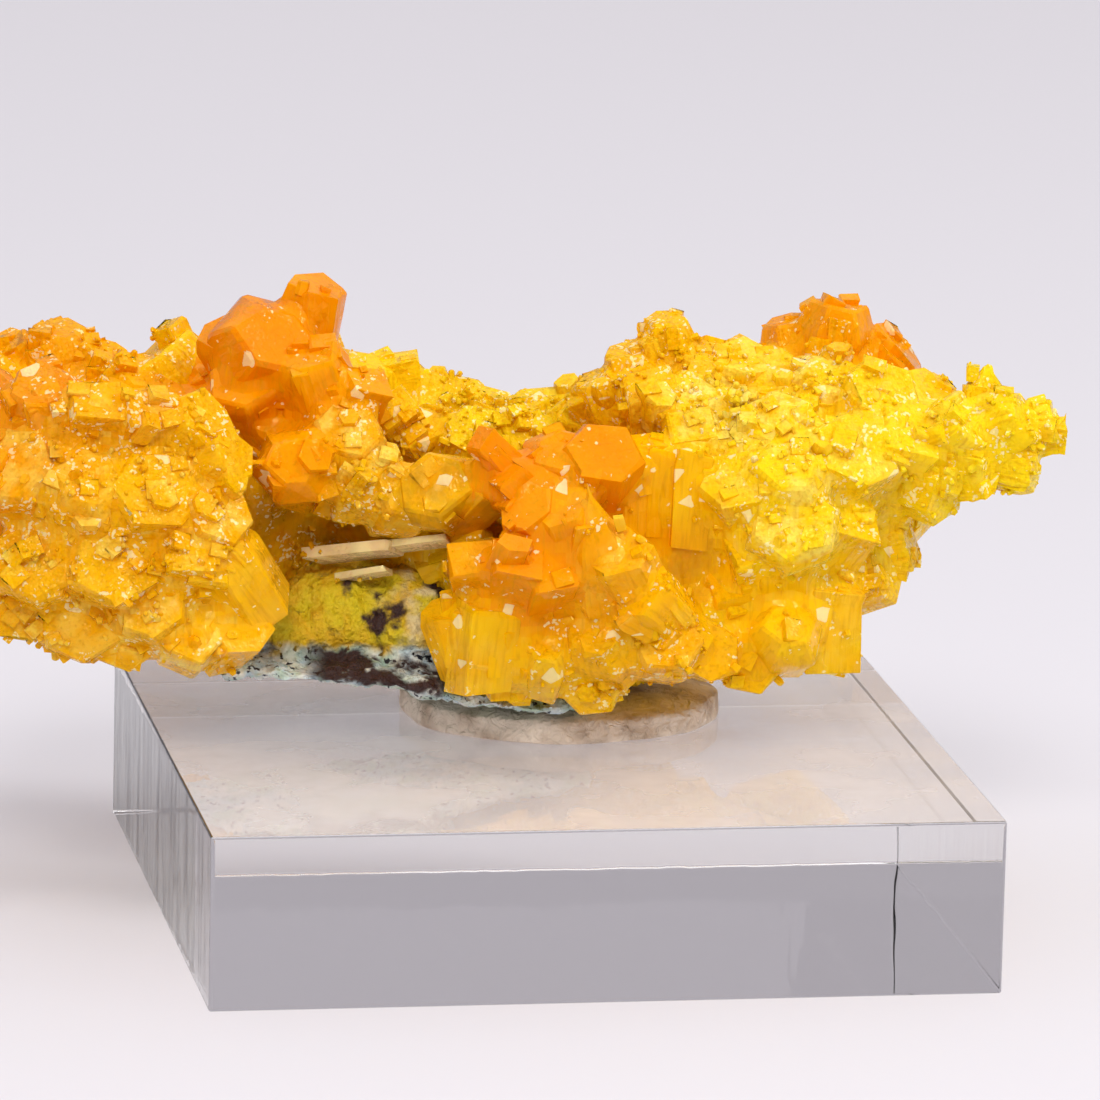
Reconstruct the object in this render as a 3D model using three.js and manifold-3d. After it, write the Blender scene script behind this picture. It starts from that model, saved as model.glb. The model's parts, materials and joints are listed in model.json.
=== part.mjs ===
// A mimetite specimen: yellow and orange crystals grown together on a thin plate of matrix rock, which a
// pad of mineral putty holds to a clear acrylic block.
// Millimetres, +Z up. The origin is the middle of the block's underside, and the front faces -Y.
import * as THREE from "three";
import { ConvexGeometry } from "three/addons/geometries/ConvexGeometry.js";
import { mergeVertices } from "three/addons/utils/BufferGeometryUtils.js";
import Module from "manifold-3d";

const wasm = await Module();
wasm.setup();

// The acrylic block
const BLOCK_SIDE = 45;
const BLOCK_THICKNESS = 10;
const BLOCK_CORNER = 0.8;
const BLOCK_EDGE = 0.3;

// The pad of putty on the block, and the clearance that the rock above keeps from it
const PAD_WIDTH = 18.6;
const PAD_DEPTH = 15;
const PAD_THICKNESS = 1.5;
const PAD_MIDDLE = [0.6, 4.6];
const CLEARANCE = 0.3;
const ROCK_BOTTOM = BLOCK_THICKNESS + PAD_THICKNESS + CLEARANCE;

// The specimen is turned on its block by this many degrees
const SPECIMEN_TURN = -9.8;

// The sight line along which the crystals were placed: its angle above level, its roll, and the height
// of the point that it meets over the block's middle
const SIGHT_ANGLE = THREE.MathUtils.degToRad(12.6);
const SIGHT_ROLL = THREE.MathUtils.degToRad(1.3);
const SIGHT_HEIGHT = 20.9;

// Each habit is a stack of outlines, from the root to the tip: [share of the radius, share of the length].
// flat is how thick the crystal is, as a share of its width.
const HABITS = {
  prism: { sides: 6, flat: 0.86, rings: [[1, -0.5], [0.94, 0.5]] },
  barrel: { sides: 6, flat: 1, rings: [[0.72, -0.5], [1, 0.1], [0.64, 0.5]] },
  point: { sides: 6, flat: 0.8, rings: [[0.95, -0.5], [1, 0.08], [0.16, 0.5]] },
  table: { sides: 6, flat: 0.9, rings: [[0.84, -0.5], [1, 0.1], [0.84, 0.5]] },
  block: { sides: 4, flat: 0.8, rings: [[1, -0.5], [0.97, 0.5]] },
  blade: { sides: 4, flat: 0.3, rings: [[1, -0.5], [0.9, 0.5]] },
};

// Every crystal is [habit, [right, up, back], [radius, length], [lean, nod, turn]].
// right and up are across the sight line and back is along the level behind the block's middle.
// lean tips the crystal's top to the right, nod tips it to the front, and turn spins it about itself.
// A lump's size is [half its width, its height].
const LEFT_MASS = [
  ["prism", [-35.6, 3.4, -1], [2.3, 5.6], [-62, 20, 10]],
  ["prism", [-34.8, 6.2, 0], [2.1, 5.2], [-42, 10, 30]],
  ["block", [-34.4, 0.2, -2], [2.0, 5.0], [-74, 30, 25]],
  ["prism", [-33.2, -1.6, -4], [2.2, 4.8], [-100, 30, 0]],
  ["barrel", [-28.3, 7.8, -8.2], [2.5, 5.0], [-16, 34, 10]],
  ["prism", [-31.2, 7.0, -6.4], [2.6, 5.4], [-34, 24, 40]],
  ["block", [-25.8, 7.5, -9.0], [2.1, 4.4], [12, 50, 18]],
  ["block", [-23.2, 7.2, -9.0], [2.0, 4.4], [28, 44, 38]],
  ["prism", [-20.5, 6.5, -8.0], [2.4, 4.8], [44, 36, 10]],
  ["table", [-18.9, 4.9, -9.2], [1.9, 3.4], [58, 34, 25]],
  ["prism", [-29.9, 4.0, -9.2], [2.8, 5.0], [-24, 54, 30]],
  ["barrel", [-26.2, 3.6, -9.8], [3.0, 4.8], [8, 62, 0]],
  ["prism", [-22.6, 2.8, -9.6], [2.9, 4.8], [20, 56, 20]],
  ["table", [-19.6, 1.8, -9.2], [2.4, 4.2], [52, 50, 35]],
  ["prism", [-28.8, -0.6, -9.0], [3.1, 4.8], [-20, 72, 14]],
  ["prism", [-24.6, -0.8, -9.6], [3.0, 4.8], [14, 70, 44]],
  ["block", [-20.6, -0.6, -10.2], [2.0, 4.2], [24, 60, 22]],
  ["block", [-19.6, -1.4, -9.8], [1.6, 3.6], [24, 60, 22]],
  ["prism", [-30.2, -2.6, -7.0], [2.4, 4.8], [-40, 96, 10]],
  ["table", [-26.6, -3.9, -7.4], [2.8, 4.6], [-6, 84, 30]],
  ["prism", [-24.2, -4.4, -7.4], [2.2, 4.4], [20, 104, 0]],
  ["prism", [-22.2, -3.8, -9.2], [2.1, 4.6], [-24, 60, 16]],
  ["prism", [-17.8, -1.8, -8.2], [2.4, 5.6], [-30, 30, 20]],
  ["table", [-20.6, -4.9, -8.4], [2.4, 4.0], [18, 64, 0]],
  ["prism", [-18.2, -4.9, -7.6], [2.1, 4.4], [30, 54, 35]],
];

const LEFT_TOP = [
  ["barrel", [-28.2, 10.8, 4], [2.3, 4.4], [-8, 10, 0]],
  ["prism", [-30.7, 10.0, 4], [2.1, 4.4], [-30, 10, 20]],
  ["barrel", [-26.2, 10.0, 3], [2.0, 4.2], [14, 20, 10]],
  ["prism", [-24.5, 8.9, 2], [2.2, 4.4], [30, 24, 30]],
  ["prism", [-32.8, 9.1, 3], [2.3, 4.6], [-24, 0, 10]],
  ["block", [-22.2, 9.4, 5], [2.3, 4.2], [-8, 10, 30]],
  ["prism", [-20.5, 9.6, 6], [2.1, 4.4], [22, 0, 0]],
];

// The tall orange crystals at the top left, and the round one under them
const ORANGE_GROUP = [
  ["barrel", [-16.5, 11.3, -1.2], [3.5, 6.6], [22, 56, 14]],
  ["prism", [-13.8, 12.8, -0.2], [1.9, 5.6], [6, 8, 24]],
  ["prism", [-18.0, 11.1, -0.6], [1.9, 4.4], [-24, 28, 0]],
  ["prism", [-17.2, 8.6, -2.0], [2.6, 5.0], [-10, 46, 30]],
  ["barrel", [-14.6, 4.7, -6.2], [2.4, 4.8], [6, 70, 16]],
  ["table", [-14.2, 4.9, -3.2], [2.6, 4.8], [0, 40, 40]],
  ["prism", [-13.1, 8.9, -3.4], [2.2, 5.8], [-16, 22, 10]],
  ["block", [-11.1, 8.1, -3.4], [1.8, 5.0], [22, 34, 30]],
  ["prism", [-11.7, 6.1, -4.4], [2.2, 4.6], [12, 56, 0]],
];

// The low saddle in the middle, with its blades, plates and dark oval crystal
const SADDLE = [
  ["block", [-9.8, 9.6, 5], [2.1, 4.8], [78, 0, 10]],
  ["prism", [-11.5, 8.9, 3], [1.9, 4.6], [10, 10, 0]],
  ["block", [-8.7, 7.4, 0.4], [1.8, 4.2], [-18, 52, 20]],
  ["block", [-6.0, 7.0, 5], [1.8, 4.2], [-20, 12, 30]],
  ["prism", [-3.9, 7.1, 5], [1.8, 4.2], [16, 10, 0]],
  ["block", [-1.4, 6.9, 4.6], [1.9, 4.2], [-10, 16, 40]],
  ["prism", [-7.0, 6.2, 1.2], [2.1, 4.6], [-12, 44, 20]],
  ["table", [-4.4, 6.0, 0.4], [2.2, 4.4], [10, 50, 0]],
  ["block", [-1.8, 5.9, 0.6], [2.0, 4.6], [16, 46, 35]],
  ["prism", [0.9, 6.3, 2], [2.1, 4.6], [24, 40, 10]],
  ["barrel", [-10.7, 4.0, -5.0], [2.4, 4.8], [20, 36, 0]],
  ["table", [-8.7, 2.7, -5.0], [2.3, 4.4], [30, 50, 20]],
  ["table", [-6.2, 3.3, -6.2], [2.7, 3.8], [-26, 58, 20]],
  ["prism", [-4.4, 2.8, -5.8], [2.1, 5.2], [40, 34, 30]],
  ["blade", [-11.2, -0.1, -3.4], [1.5, 6.0], [76, 28, 62]],
  ["blade", [-7.4, 0.4, -5.2], [1.1, 4.2], [74, 30, 60]],
  ["blade", [-10.7, -1.4, -3.2], [0.9, 3.4], [72, 30, 60]],
];

// The orange and yellow crystals in the middle of the front
const MIDDLE_FRONT = [
  ["block", [-2.8, 5.2, -7.8], [1.2, 4.2], [-44, 22, 28]],
  ["block", [-1.4, 3.2, -8.2], [1.3, 4.4], [-42, 30, 20]],
  ["prism", [-0.6, 1.6, -8.4], [1.8, 4.6], [-38, 44, 10]],
  ["prism", [1.0, 1.0, -8.4], [1.9, 4.8], [-14, 40, 0]],
  ["block", [-4.4, -1.0, -8.0], [1.9, 4.4], [-4, 60, 8]],
  ["block", [-1.9, -1.4, -9.0], [2.0, 5.0], [6, 54, 4]],
  ["block", [-0.1, -2.1, -9.0], [1.9, 4.6], [14, 54, 24]],
  ["point", [2.5, 0.0, -9.0], [2.2, 7.2], [-8, 22, 14]],
  ["prism", [4.6, -1.8, -8.4], [2.1, 6.2], [-24, 36, 0]],
  ["prism", [6.2, -3.6, -7.8], [2.0, 5.4], [-38, 42, 20]],
  ["barrel", [0.5, 4.8, -6.2], [2.4, 4.8], [-4, 54, 30]],
  ["prism", [2.9, 4.5, -6.6], [2.4, 5.0], [4, 48, 0]],
  ["block", [5.0, 3.7, -5.6], [1.5, 5.8], [0, 6, 12]],
  ["block", [6.5, 3.4, -5.6], [1.4, 5.4], [2, 6, 6]],
  ["block", [7.9, 3.0, -5.6], [1.5, 5.6], [4, 8, 14]],
  ["block", [9.1, 3.8, -4.8], [1.4, 4.8], [6, 10, 10]],
];

const LOWER_FRONT = [
  ["block", [-3.8, -5.4, -8.0], [2.1, 5.4], [4, 12, 30]],
  ["prism", [-5.4, -5.1, -6.6], [1.6, 4.6], [-18, 16, 0]],
  ["prism", [-2.1, -6.0, -6.4], [1.7, 4.8], [12, 20, 20]],
  ["barrel", [-0.3, -6.5, -7.0], [1.8, 4.2], [4, 46, 0]],
  ["barrel", [3.2, -5.2, -6.8], [2.8, 4.8], [-20, 48, 30]],
  ["table", [6.4, -5.5, -6.4], [2.5, 4.4], [14, 62, 10]],
  ["prism", [2.4, -7.2, -5.2], [2.0, 4.2], [0, 106, 10]],
  ["prism", [8.8, -5.8, -5.2], [2.1, 4.2], [30, 72, 0]],
  ["block", [10.4, -3.0, -3.8], [2.4, 5.0], [6, 40, 24]],
  ["barrel", [13.4, -4.9, -5.0], [2.4, 4.6], [10, 56, 20]],
  ["block", [15.9, -4.2, -2.8], [2.4, 5.0], [4, 14, 20]],
  ["block", [13.2, -2.3, -4.2], [2.1, 4.8], [0, 30, 10]],
  ["prism", [11.4, -6.0, -3.6], [2.2, 4.2], [10, 96, 0]],
  ["prism", [17.6, -1.8, 0], [2.1, 4.6], [60, 20, 0]],
  ["block", [18.7, 0.2, 1], [2.1, 4.8], [76, 10, 20]],
];

const RIGHT_FRONT = [
  ["barrel", [13.4, 4.0, -5.2], [2.8, 4.8], [4, 54, 10]],
  ["prism", [10.9, 3.0, -5.2], [2.3, 4.8], [-16, 48, 0]],
  ["prism", [13.7, 0.8, -5.4], [2.8, 5.0], [6, 60, 28]],
  ["block", [11.8, -0.9, -4.6], [2.2, 4.8], [-6, 46, 20]],
  ["block", [16.4, 0.6, -3.4], [2.3, 4.8], [30, 40, 30]],
  ["block", [5.8, 8.0, -2.0], [2.2, 4.8], [-4, 34, 12]],
  ["prism", [8.2, 7.8, -1.6], [2.1, 4.6], [8, 40, 0]],
  ["prism", [10.4, 6.6, -2.8], [2.3, 4.6], [6, 52, 20]],
  ["block", [8.0, 6.0, -3.8], [2.0, 4.6], [0, 44, 10]],
  ["prism", [12.8, 6.7, -2.8], [2.4, 4.8], [10, 54, 40]],
  ["prism", [17.0, 4.9, -3.4], [2.7, 4.8], [20, 48, 0]],
  ["block", [19.8, 5.6, -2.0], [2.5, 5.0], [30, 40, 20]],
];

const RIGHT_TOP = [
  ["barrel", [3.5, 8.4, 0], [2.1, 4.6], [-34, 20, 0]],
  ["barrel", [5.0, 9.8, 1], [2.0, 4.4], [-16, 16, 20]],
  ["barrel", [6.8, 11.2, 2], [1.8, 4.6], [-4, 8, 0]],
  ["prism", [8.6, 9.6, 2], [2.3, 4.8], [8, 20, 10]],
  ["prism", [11.0, 9.3, 2], [2.3, 4.8], [4, 20, 40]],
  ["barrel", [14.4, 11.2, 6], [2.2, 4.6], [-16, 0, 10]],
  ["barrel", [16.5, 12.1, 5], [2.5, 5.0], [6, 8, 0]],
  ["prism", [18.8, 10.4, 6], [2.2, 4.8], [40, 0, 20]],
  ["prism", [12.6, 8.8, 2], [2.5, 4.8], [-6, 36, 0]],
  ["barrel", [15.8, 8.9, 1], [2.8, 5.0], [10, 42, 20]],
  ["prism", [18.4, 8.1, 0], [2.5, 5.0], [26, 40, 10]],
  ["prism", [21.0, 7.7, 2], [2.2, 4.8], [34, 20, 0]],
];

// The narrow end at the right
const RIGHT_TIP = [
  ["prism", [22.8, 6.5, -1], [2.3, 4.8], [44, 30, 20]],
  ["point", [25.0, 8.4, 0], [1.5, 4.8], [4, 8, 0]],
  ["prism", [25.3, 6.8, -1], [2.0, 4.8], [62, 20, 10]],
  ["prism", [27.2, 7.0, 0], [1.6, 4.2], [72, 10, 30]],
  ["block", [28.2, 6.5, 0], [1.2, 3.0], [84, 8, 20]],
  ["prism", [25.8, 5.0, -1], [1.5, 4.4], [96, 24, 0]],
  ["block", [23.4, 4.8, -1], [1.9, 4.8], [92, 34, 20]],
  ["prism", [21.0, 3.8, -1], [2.0, 4.8], [98, 34, 0]],
];

const CRYSTALS = [
  ...LEFT_MASS,
  ...LEFT_TOP,
  ...ORANGE_GROUP,
  ...SADDLE,
  ...MIDDLE_FRONT,
  ...LOWER_FRONT,
  ...RIGHT_FRONT,
  ...RIGHT_TOP,
  ...RIGHT_TIP,
];

// The body that the crystals grow from, as sections from left to right: [across, front, back, low, high]
const CORE = [
  [-35.0, -3.0, 3.0, 20.4, 26.0],
  [-31.6, -5.8, 7.0, 17.8, 29.2],
  [-26.6, -7.8, 9.5, 16.2, 30.0],
  [-21.4, -7.0, 10.5, 15.8, 29.8],
  [-17.2, -2.8, 11.0, 15.8, 30.4],
  [-12.6, 0.4, 11.5, 15.8, 29.6],
  [-8.6, -1.4, 11.5, 15.6, 27.4],
  [-4.6, -4.8, 11.5, 14.2, 26.2],
  [1.7, -6.6, 11.0, 13.0, 26.8],
  [6.0, -6.4, 11.0, 13.0, 29.0],
  [10.4, -5.2, 11.5, 14.8, 30.2],
  [15.0, -4.0, 11.0, 16.4, 30.4],
  [18.2, -2.6, 10.0, 19.4, 29.6],
  [21.6, -2.0, 7.5, 23.6, 28.2],
  [25.4, -1.6, 3.6, 26.2, 28.6],
  [27.8, -0.8, 1.6, 27.2, 28.4],
];

// The matrix rock: a thin plate under the crystals, with humps that fill the foot of the hollow above it
const PLATE = [
  [-21.2, -4.4, 3.0, 14.1, 14.8],
  [-18.0, -6.4, 7.0, 13.9, 15.3],
  [-14.0, -6.2, 9.0, 13.8, 15.1],
  [-10.6, -6.6, 10.0, 13.4, 15.6],
  [-7.0, -6.6, 10.4, 12.7, 15.4],
  [-4.0, -5.6, 10.0, 12.1, 13.9],
  [-0.4, -4.6, 9.4, 11.8, 13.2],
  [2.6, -3.0, 7.6, 11.8, 12.8],
];
const HUMPS = [
  ["lump", [-15.4, -4.4, -0.8], [3.2, 5.2], [0, 0, 10]],
  ["lump", [-12.0, -3.6, -0.2], [3.8, 6.6], [0, 0, 50]],
  ["lump", [-8.0, -3.8, -1.2], [3.4, 6.0], [0, 0, 80]],
];

// Crystals over the top and round the back, in rows from the left end to the right end.
// Around is the angle from straight back, up for the rows on top and down for those underneath.
const BACK_ROWS = 4;
const BACK_PER_ROW = 7;
const BACK_ACROSS = [-34, 22.5];
const BACK_AROUND = [72, -46];
const BACK_RADIUS = [3.1, 4.4];
const BACK_LENGTH = [4.2, 5.6];
const BACK_SINK = 0.94;
const BACK_HABITS = ["prism", "block", "barrel", "table"];

// A number from 0 to 1 that depends only on n and use, so that every build is the same
function chance(n, use) {
  const wave = Math.sin(n * 12.9898 + use * 78.233) * 43758.5453;
  return wave - Math.floor(wave);
}

function between([low, high], share) {
  return low + (high - low) * share;
}

// The geometry as a manifold-3d solid
function solidOf(geometry) {
  const bare = geometry.index ? geometry.toNonIndexed() : geometry.clone();
  bare.deleteAttribute("normal");
  bare.deleteAttribute("uv");
  const merged = mergeVertices(bare, 1e-3);
  return new wasm.Manifold(
    new wasm.Mesh({
      numProp: 3,
      vertProperties: new Float32Array(merged.attributes.position.array),
      triVerts: new Uint32Array(merged.index.array),
    }),
  );
}

function geometryOf(solid) {
  const mesh = solid.getMesh();
  const geometry = new THREE.BufferGeometry();
  geometry.setAttribute("position", new THREE.BufferAttribute(mesh.vertProperties, 3));
  geometry.setIndex(new THREE.BufferAttribute(mesh.triVerts, 1));
  const flat = geometry.toNonIndexed();
  flat.computeVertexNormals();
  return flat;
}

// A place in the specimen's own frame from where the sight line shows it
function seen([right, up, back]) {
  const across = right * Math.cos(SIGHT_ROLL) - up * Math.sin(SIGHT_ROLL);
  const rise = right * Math.sin(SIGHT_ROLL) + up * Math.cos(SIGHT_ROLL);
  const height = SIGHT_HEIGHT + (rise - back * Math.sin(SIGHT_ANGLE)) / Math.cos(SIGHT_ANGLE);
  return new THREE.Vector3(across, back, height);
}

// A crystal with flat faces, standing on +Z about its middle
function crystalGeometry(habit, [radius, length]) {
  const { sides, flat, rings } = HABITS[habit];
  const points = [];
  for (const [width, height] of rings) {
    for (let k = 0; k < sides; k++) {
      const angle = ((k + 0.5) / sides) * 2 * Math.PI;
      const reach = radius * width;
      points.push(
        new THREE.Vector3(
          reach * Math.cos(angle),
          reach * flat * Math.sin(angle),
          length * height,
        ),
      );
    }
  }
  return new ConvexGeometry(points);
}

// A rough lump with a few broad faces
function lumpGeometry([halfWidth, height]) {
  return new THREE.IcosahedronGeometry(1).scale(halfWidth, halfWidth, height / 2);
}

// The solid of one entry of the lists above
function grown([habit, place, size, [lean, nod, turn]]) {
  const geometry = habit === "lump" ? lumpGeometry(size) : crystalGeometry(habit, size);
  const [a, b, c] = [nod, lean, turn].map(THREE.MathUtils.degToRad);
  const where = place.isVector3 ? place : seen(place);
  geometry.applyMatrix4(new THREE.Matrix4().makeRotationFromEuler(new THREE.Euler(a, b, c, "YXZ")));
  geometry.translate(where.x, where.y, where.z);
  return solidOf(geometry);
}

// A closed body through eight-sided sections, each [across, front, back, low, high]
function lofted(sections, grow = 0) {
  const around = 8;
  const points = [];
  for (const [index, [across, front, back, low, high]] of sections.entries()) {
    const outward = index === 0 ? -grow : index === sections.length - 1 ? grow : 0;
    for (let k = 0; k < around; k++) {
      const angle = ((k + 0.5) / around) * 2 * Math.PI;
      points.push([
        across + outward,
        (front + back) / 2 + ((back - front) / 2 + grow) * 1.08 * Math.cos(angle),
        (low + high) / 2 + ((high - low) / 2 + grow) * 1.08 * Math.sin(angle),
      ]);
    }
  }
  const faces = [];
  for (let s = 0; s + 1 < sections.length; s++) {
    for (let k = 0; k < around; k++) {
      const a = s * around + k;
      const b = s * around + ((k + 1) % around);
      faces.push([a, b, b + around], [a, b + around, a + around]);
    }
  }
  const last = (sections.length - 1) * around;
  for (let k = 1; k + 1 < around; k++) {
    faces.push([0, k + 1, k], [last, last + k, last + k + 1]);
  }
  const geometry = new THREE.BufferGeometry();
  geometry.setAttribute("position", new THREE.Float32BufferAttribute(points.flat(), 3));
  geometry.setIndex(faces.flat());
  return solidOf(geometry);
}

// The core's section at this distance across, worked out between the listed ones
function coreAt(across) {
  const next = CORE.findIndex((section) => section[0] > across);
  const [from, to] = [CORE[next - 1], CORE[next]];
  const share = (across - from[0]) / (to[0] - from[0]);
  return from.map((value, k) => value + (to[k] - value) * share);
}

// The crystals of the top and back: each stands out from the core's surface
function backCrystals() {
  const made = [];
  for (let row = 0; row < BACK_ROWS; row++) {
    for (let k = 0; k < BACK_PER_ROW; k++) {
      const n = row * BACK_PER_ROW + k;
      const along = (k + 0.3 + 0.5 * (row % 2) + 0.5 * (chance(n, 1) - 0.5)) / BACK_PER_ROW;
      const across = between(BACK_ACROSS, along);
      const [, front, back, low, high] = coreAt(across);
      const step = row / (BACK_ROWS - 1) + 0.12 * (chance(n, 2) - 0.5);
      const around = between(BACK_AROUND, step);
      const angle = THREE.MathUtils.degToRad(around);
      const place = new THREE.Vector3(
        across,
        (front + back) / 2 + ((back - front) / 2) * BACK_SINK * Math.cos(angle),
        (low + high) / 2 + ((high - low) / 2) * BACK_SINK * Math.sin(angle),
      );
      const habit = BACK_HABITS[Math.floor(BACK_HABITS.length * chance(n, 6))];
      const size = [between(BACK_RADIUS, chance(n, 3)), between(BACK_LENGTH, chance(n, 7))];
      const lean = between([-34, 34], along) + 40 * (chance(n, 5) - 0.5);
      const nod = around - 90 + 40 * (chance(n, 4) - 0.5);
      made.push([habit, place, size, [lean, nod, 60 * chance(n, 8)]]);
    }
  }
  return made;
}

function matrixSolid(grow = 0) {
  const humps = HUMPS.map(([kind, place, [half, height], tilt]) =>
    grown([kind, place, [half + grow, height + 2 * grow], tilt]),
  );
  return humps.reduce((whole, hump) => whole.add(hump), lofted(PLATE, grow));
}

// The largest of the bodies that a join or cut leaves, without the bubbles shut inside it
function wholeOf(solid) {
  return solid.decompose().reduce((most, one) => (one.volume() > most.volume() ? one : most));
}

// A slab that stands for everything below the level that the rock may reach
function belowRock() {
  const slab = new THREE.BoxGeometry(120, 120, 20);
  slab.translate(0, 0, ROCK_BOTTOM - 10);
  return solidOf(slab);
}

function crystalsSolid() {
  const all = [...CRYSTALS, ...backCrystals()].map(grown);
  const mass = all.reduce((whole, one) => whole.add(one), lofted(CORE));
  return wholeOf(mass.subtract(matrixSolid(CLEARANCE)).subtract(belowRock()));
}

// An outline with rounded corners, lying on XY about the origin
function roundedSquare(side, corner) {
  const h = side / 2;
  const shape = new THREE.Shape();
  shape.moveTo(-h + corner, -h);
  shape.lineTo(h - corner, -h);
  shape.absarc(h - corner, -h + corner, corner, -Math.PI / 2, 0);
  shape.lineTo(h, h - corner);
  shape.absarc(h - corner, h - corner, corner, 0, Math.PI / 2);
  shape.lineTo(-h + corner, h);
  shape.absarc(-h + corner, h - corner, corner, Math.PI / 2, Math.PI);
  shape.lineTo(-h, -h + corner);
  shape.absarc(-h + corner, -h + corner, corner, Math.PI, 1.5 * Math.PI);
  return shape;
}

function blockGeometry() {
  const shape = roundedSquare(BLOCK_SIDE - 2 * BLOCK_EDGE, BLOCK_CORNER);
  const geometry = new THREE.ExtrudeGeometry(shape, {
    depth: BLOCK_THICKNESS - 2 * BLOCK_EDGE,
    bevelThickness: BLOCK_EDGE,
    bevelSize: BLOCK_EDGE,
    bevelSegments: 1,
    curveSegments: 2,
  });
  geometry.translate(0, 0, BLOCK_EDGE);
  return geometry;
}

// The putty's outline is an oval with shallow dents, as pressed by hand
function padGeometry() {
  const edge = 0.45;
  const steps = 28;
  const points = [];
  for (let k = 0; k < steps; k++) {
    const angle = (k / steps) * 2 * Math.PI;
    const dent = 1 + 0.025 * Math.sin(3 * angle + 0.6) + 0.018 * Math.sin(7 * angle);
    points.push(
      new THREE.Vector2(
        (PAD_WIDTH / 2 - edge) * dent * Math.cos(angle),
        (PAD_DEPTH / 2 - edge) * dent * Math.sin(angle),
      ),
    );
  }
  const geometry = new THREE.ExtrudeGeometry(new THREE.Shape(points), {
    depth: PAD_THICKNESS - 2 * edge,
    bevelThickness: edge,
    bevelSize: edge,
    bevelSegments: 1,
  });
  geometry.translate(PAD_MIDDLE[0], PAD_MIDDLE[1], BLOCK_THICKNESS + edge);
  return geometry;
}

function named(name, geometry, material) {
  const mesh = new THREE.Mesh(geometry, material);
  mesh.name = name;
  return mesh;
}

const acrylic = new THREE.MeshStandardMaterial({
  color: 0xe6e4ea,
  roughness: 0.05,
  metalness: 0,
  transparent: true,
  opacity: 0.35,
});
const putty = new THREE.MeshStandardMaterial({ color: 0xcbb9a4, roughness: 0.8, metalness: 0 });
const rock = new THREE.MeshStandardMaterial({ color: 0x8fa39a, roughness: 0.85, metalness: 0 });
const mimetite = new THREE.MeshStandardMaterial({ color: 0xe8ad08, roughness: 0.25, metalness: 0 });

const specimen = new THREE.Group();
specimen.rotation.z = THREE.MathUtils.degToRad(SPECIMEN_TURN);
specimen.add(
  named("mineral_putty", padGeometry(), putty),
  named("matrix_rock", geometryOf(matrixSolid().subtract(belowRock())), rock),
  named("mimetite_crystals", geometryOf(crystalsSolid()), mimetite),
);

const part = new THREE.Group();
part.add(named("acrylic_base", blockGeometry(), acrylic), specimen);

export default part;
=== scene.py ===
"""The finished look of a mimetite specimen: yellow and orange crystals grown together on a thin plate of
matrix rock, which a pad of mineral putty holds to a clear acrylic block.

Sizes are in millimetres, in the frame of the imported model, and become metres only in the finished meshes.
"""

import json
import logging
import math
from collections.abc import Callable, Iterable, Iterator
from contextlib import contextmanager
from dataclasses import dataclass, field
from enum import Enum, IntEnum
from typing import Any

import bmesh
import bpy
import numpy as np
from bpy.types import Material, Mesh, Node, NodeSocket, NodeTree, Object
from mathutils import Euler, Matrix, Vector, kdtree, noise

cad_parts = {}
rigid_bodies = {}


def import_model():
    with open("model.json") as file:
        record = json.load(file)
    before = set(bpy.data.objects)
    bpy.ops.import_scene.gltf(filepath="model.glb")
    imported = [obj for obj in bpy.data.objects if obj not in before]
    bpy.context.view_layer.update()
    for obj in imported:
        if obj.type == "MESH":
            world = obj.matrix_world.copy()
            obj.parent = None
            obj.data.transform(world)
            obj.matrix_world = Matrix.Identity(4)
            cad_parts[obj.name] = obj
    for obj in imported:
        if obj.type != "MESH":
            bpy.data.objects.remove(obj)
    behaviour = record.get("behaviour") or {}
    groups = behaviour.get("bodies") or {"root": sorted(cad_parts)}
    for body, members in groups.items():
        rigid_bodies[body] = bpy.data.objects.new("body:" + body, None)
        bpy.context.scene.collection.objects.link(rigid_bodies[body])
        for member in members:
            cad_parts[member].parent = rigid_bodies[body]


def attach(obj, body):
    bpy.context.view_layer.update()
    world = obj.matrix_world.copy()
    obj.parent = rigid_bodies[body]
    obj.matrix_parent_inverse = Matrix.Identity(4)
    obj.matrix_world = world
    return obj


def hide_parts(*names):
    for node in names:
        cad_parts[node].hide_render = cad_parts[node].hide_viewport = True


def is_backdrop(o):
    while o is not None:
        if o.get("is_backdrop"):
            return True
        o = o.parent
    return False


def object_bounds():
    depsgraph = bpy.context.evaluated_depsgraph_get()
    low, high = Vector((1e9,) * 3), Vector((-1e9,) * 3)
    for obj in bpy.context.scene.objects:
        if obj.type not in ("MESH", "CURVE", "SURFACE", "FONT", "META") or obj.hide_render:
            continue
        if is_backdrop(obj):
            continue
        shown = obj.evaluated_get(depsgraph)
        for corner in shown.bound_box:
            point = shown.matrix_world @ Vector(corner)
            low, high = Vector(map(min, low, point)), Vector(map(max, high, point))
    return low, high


MM = 0.001
BODY = "root"
# A face is taken as level when the upright part of its normal is more than this.
UPRIGHT = 0.9
# How far apart the crystals lie in their own millimetres, at most, so that no two look alike.
OWN_SHIFT = 40
# These keep the small crystals' chances apart from each other's.
CRUST_SEED = 60
SHOOT_SEED = 31.7

Place = tuple[float, float, float]
Pair = tuple[float, float]
Colour = tuple[float, float, float]

log = logging.getLogger("mimetite")


class Habit(Enum):
    """The shapes that a crystal takes."""

    PRISM = "prism"
    BARREL = "barrel"
    POINT = "point"
    TABLE = "table"
    BLOCK = "block"
    BLADE = "blade"


PRISM, BARREL, POINT = Habit.PRISM, Habit.BARREL, Habit.POINT
TABLE, BLOCK, BLADE = Habit.TABLE, Habit.BLOCK, Habit.BLADE

Entry = tuple[Habit, Place, Pair, Place]
Section = tuple[float, float, float, float, float]

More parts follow.
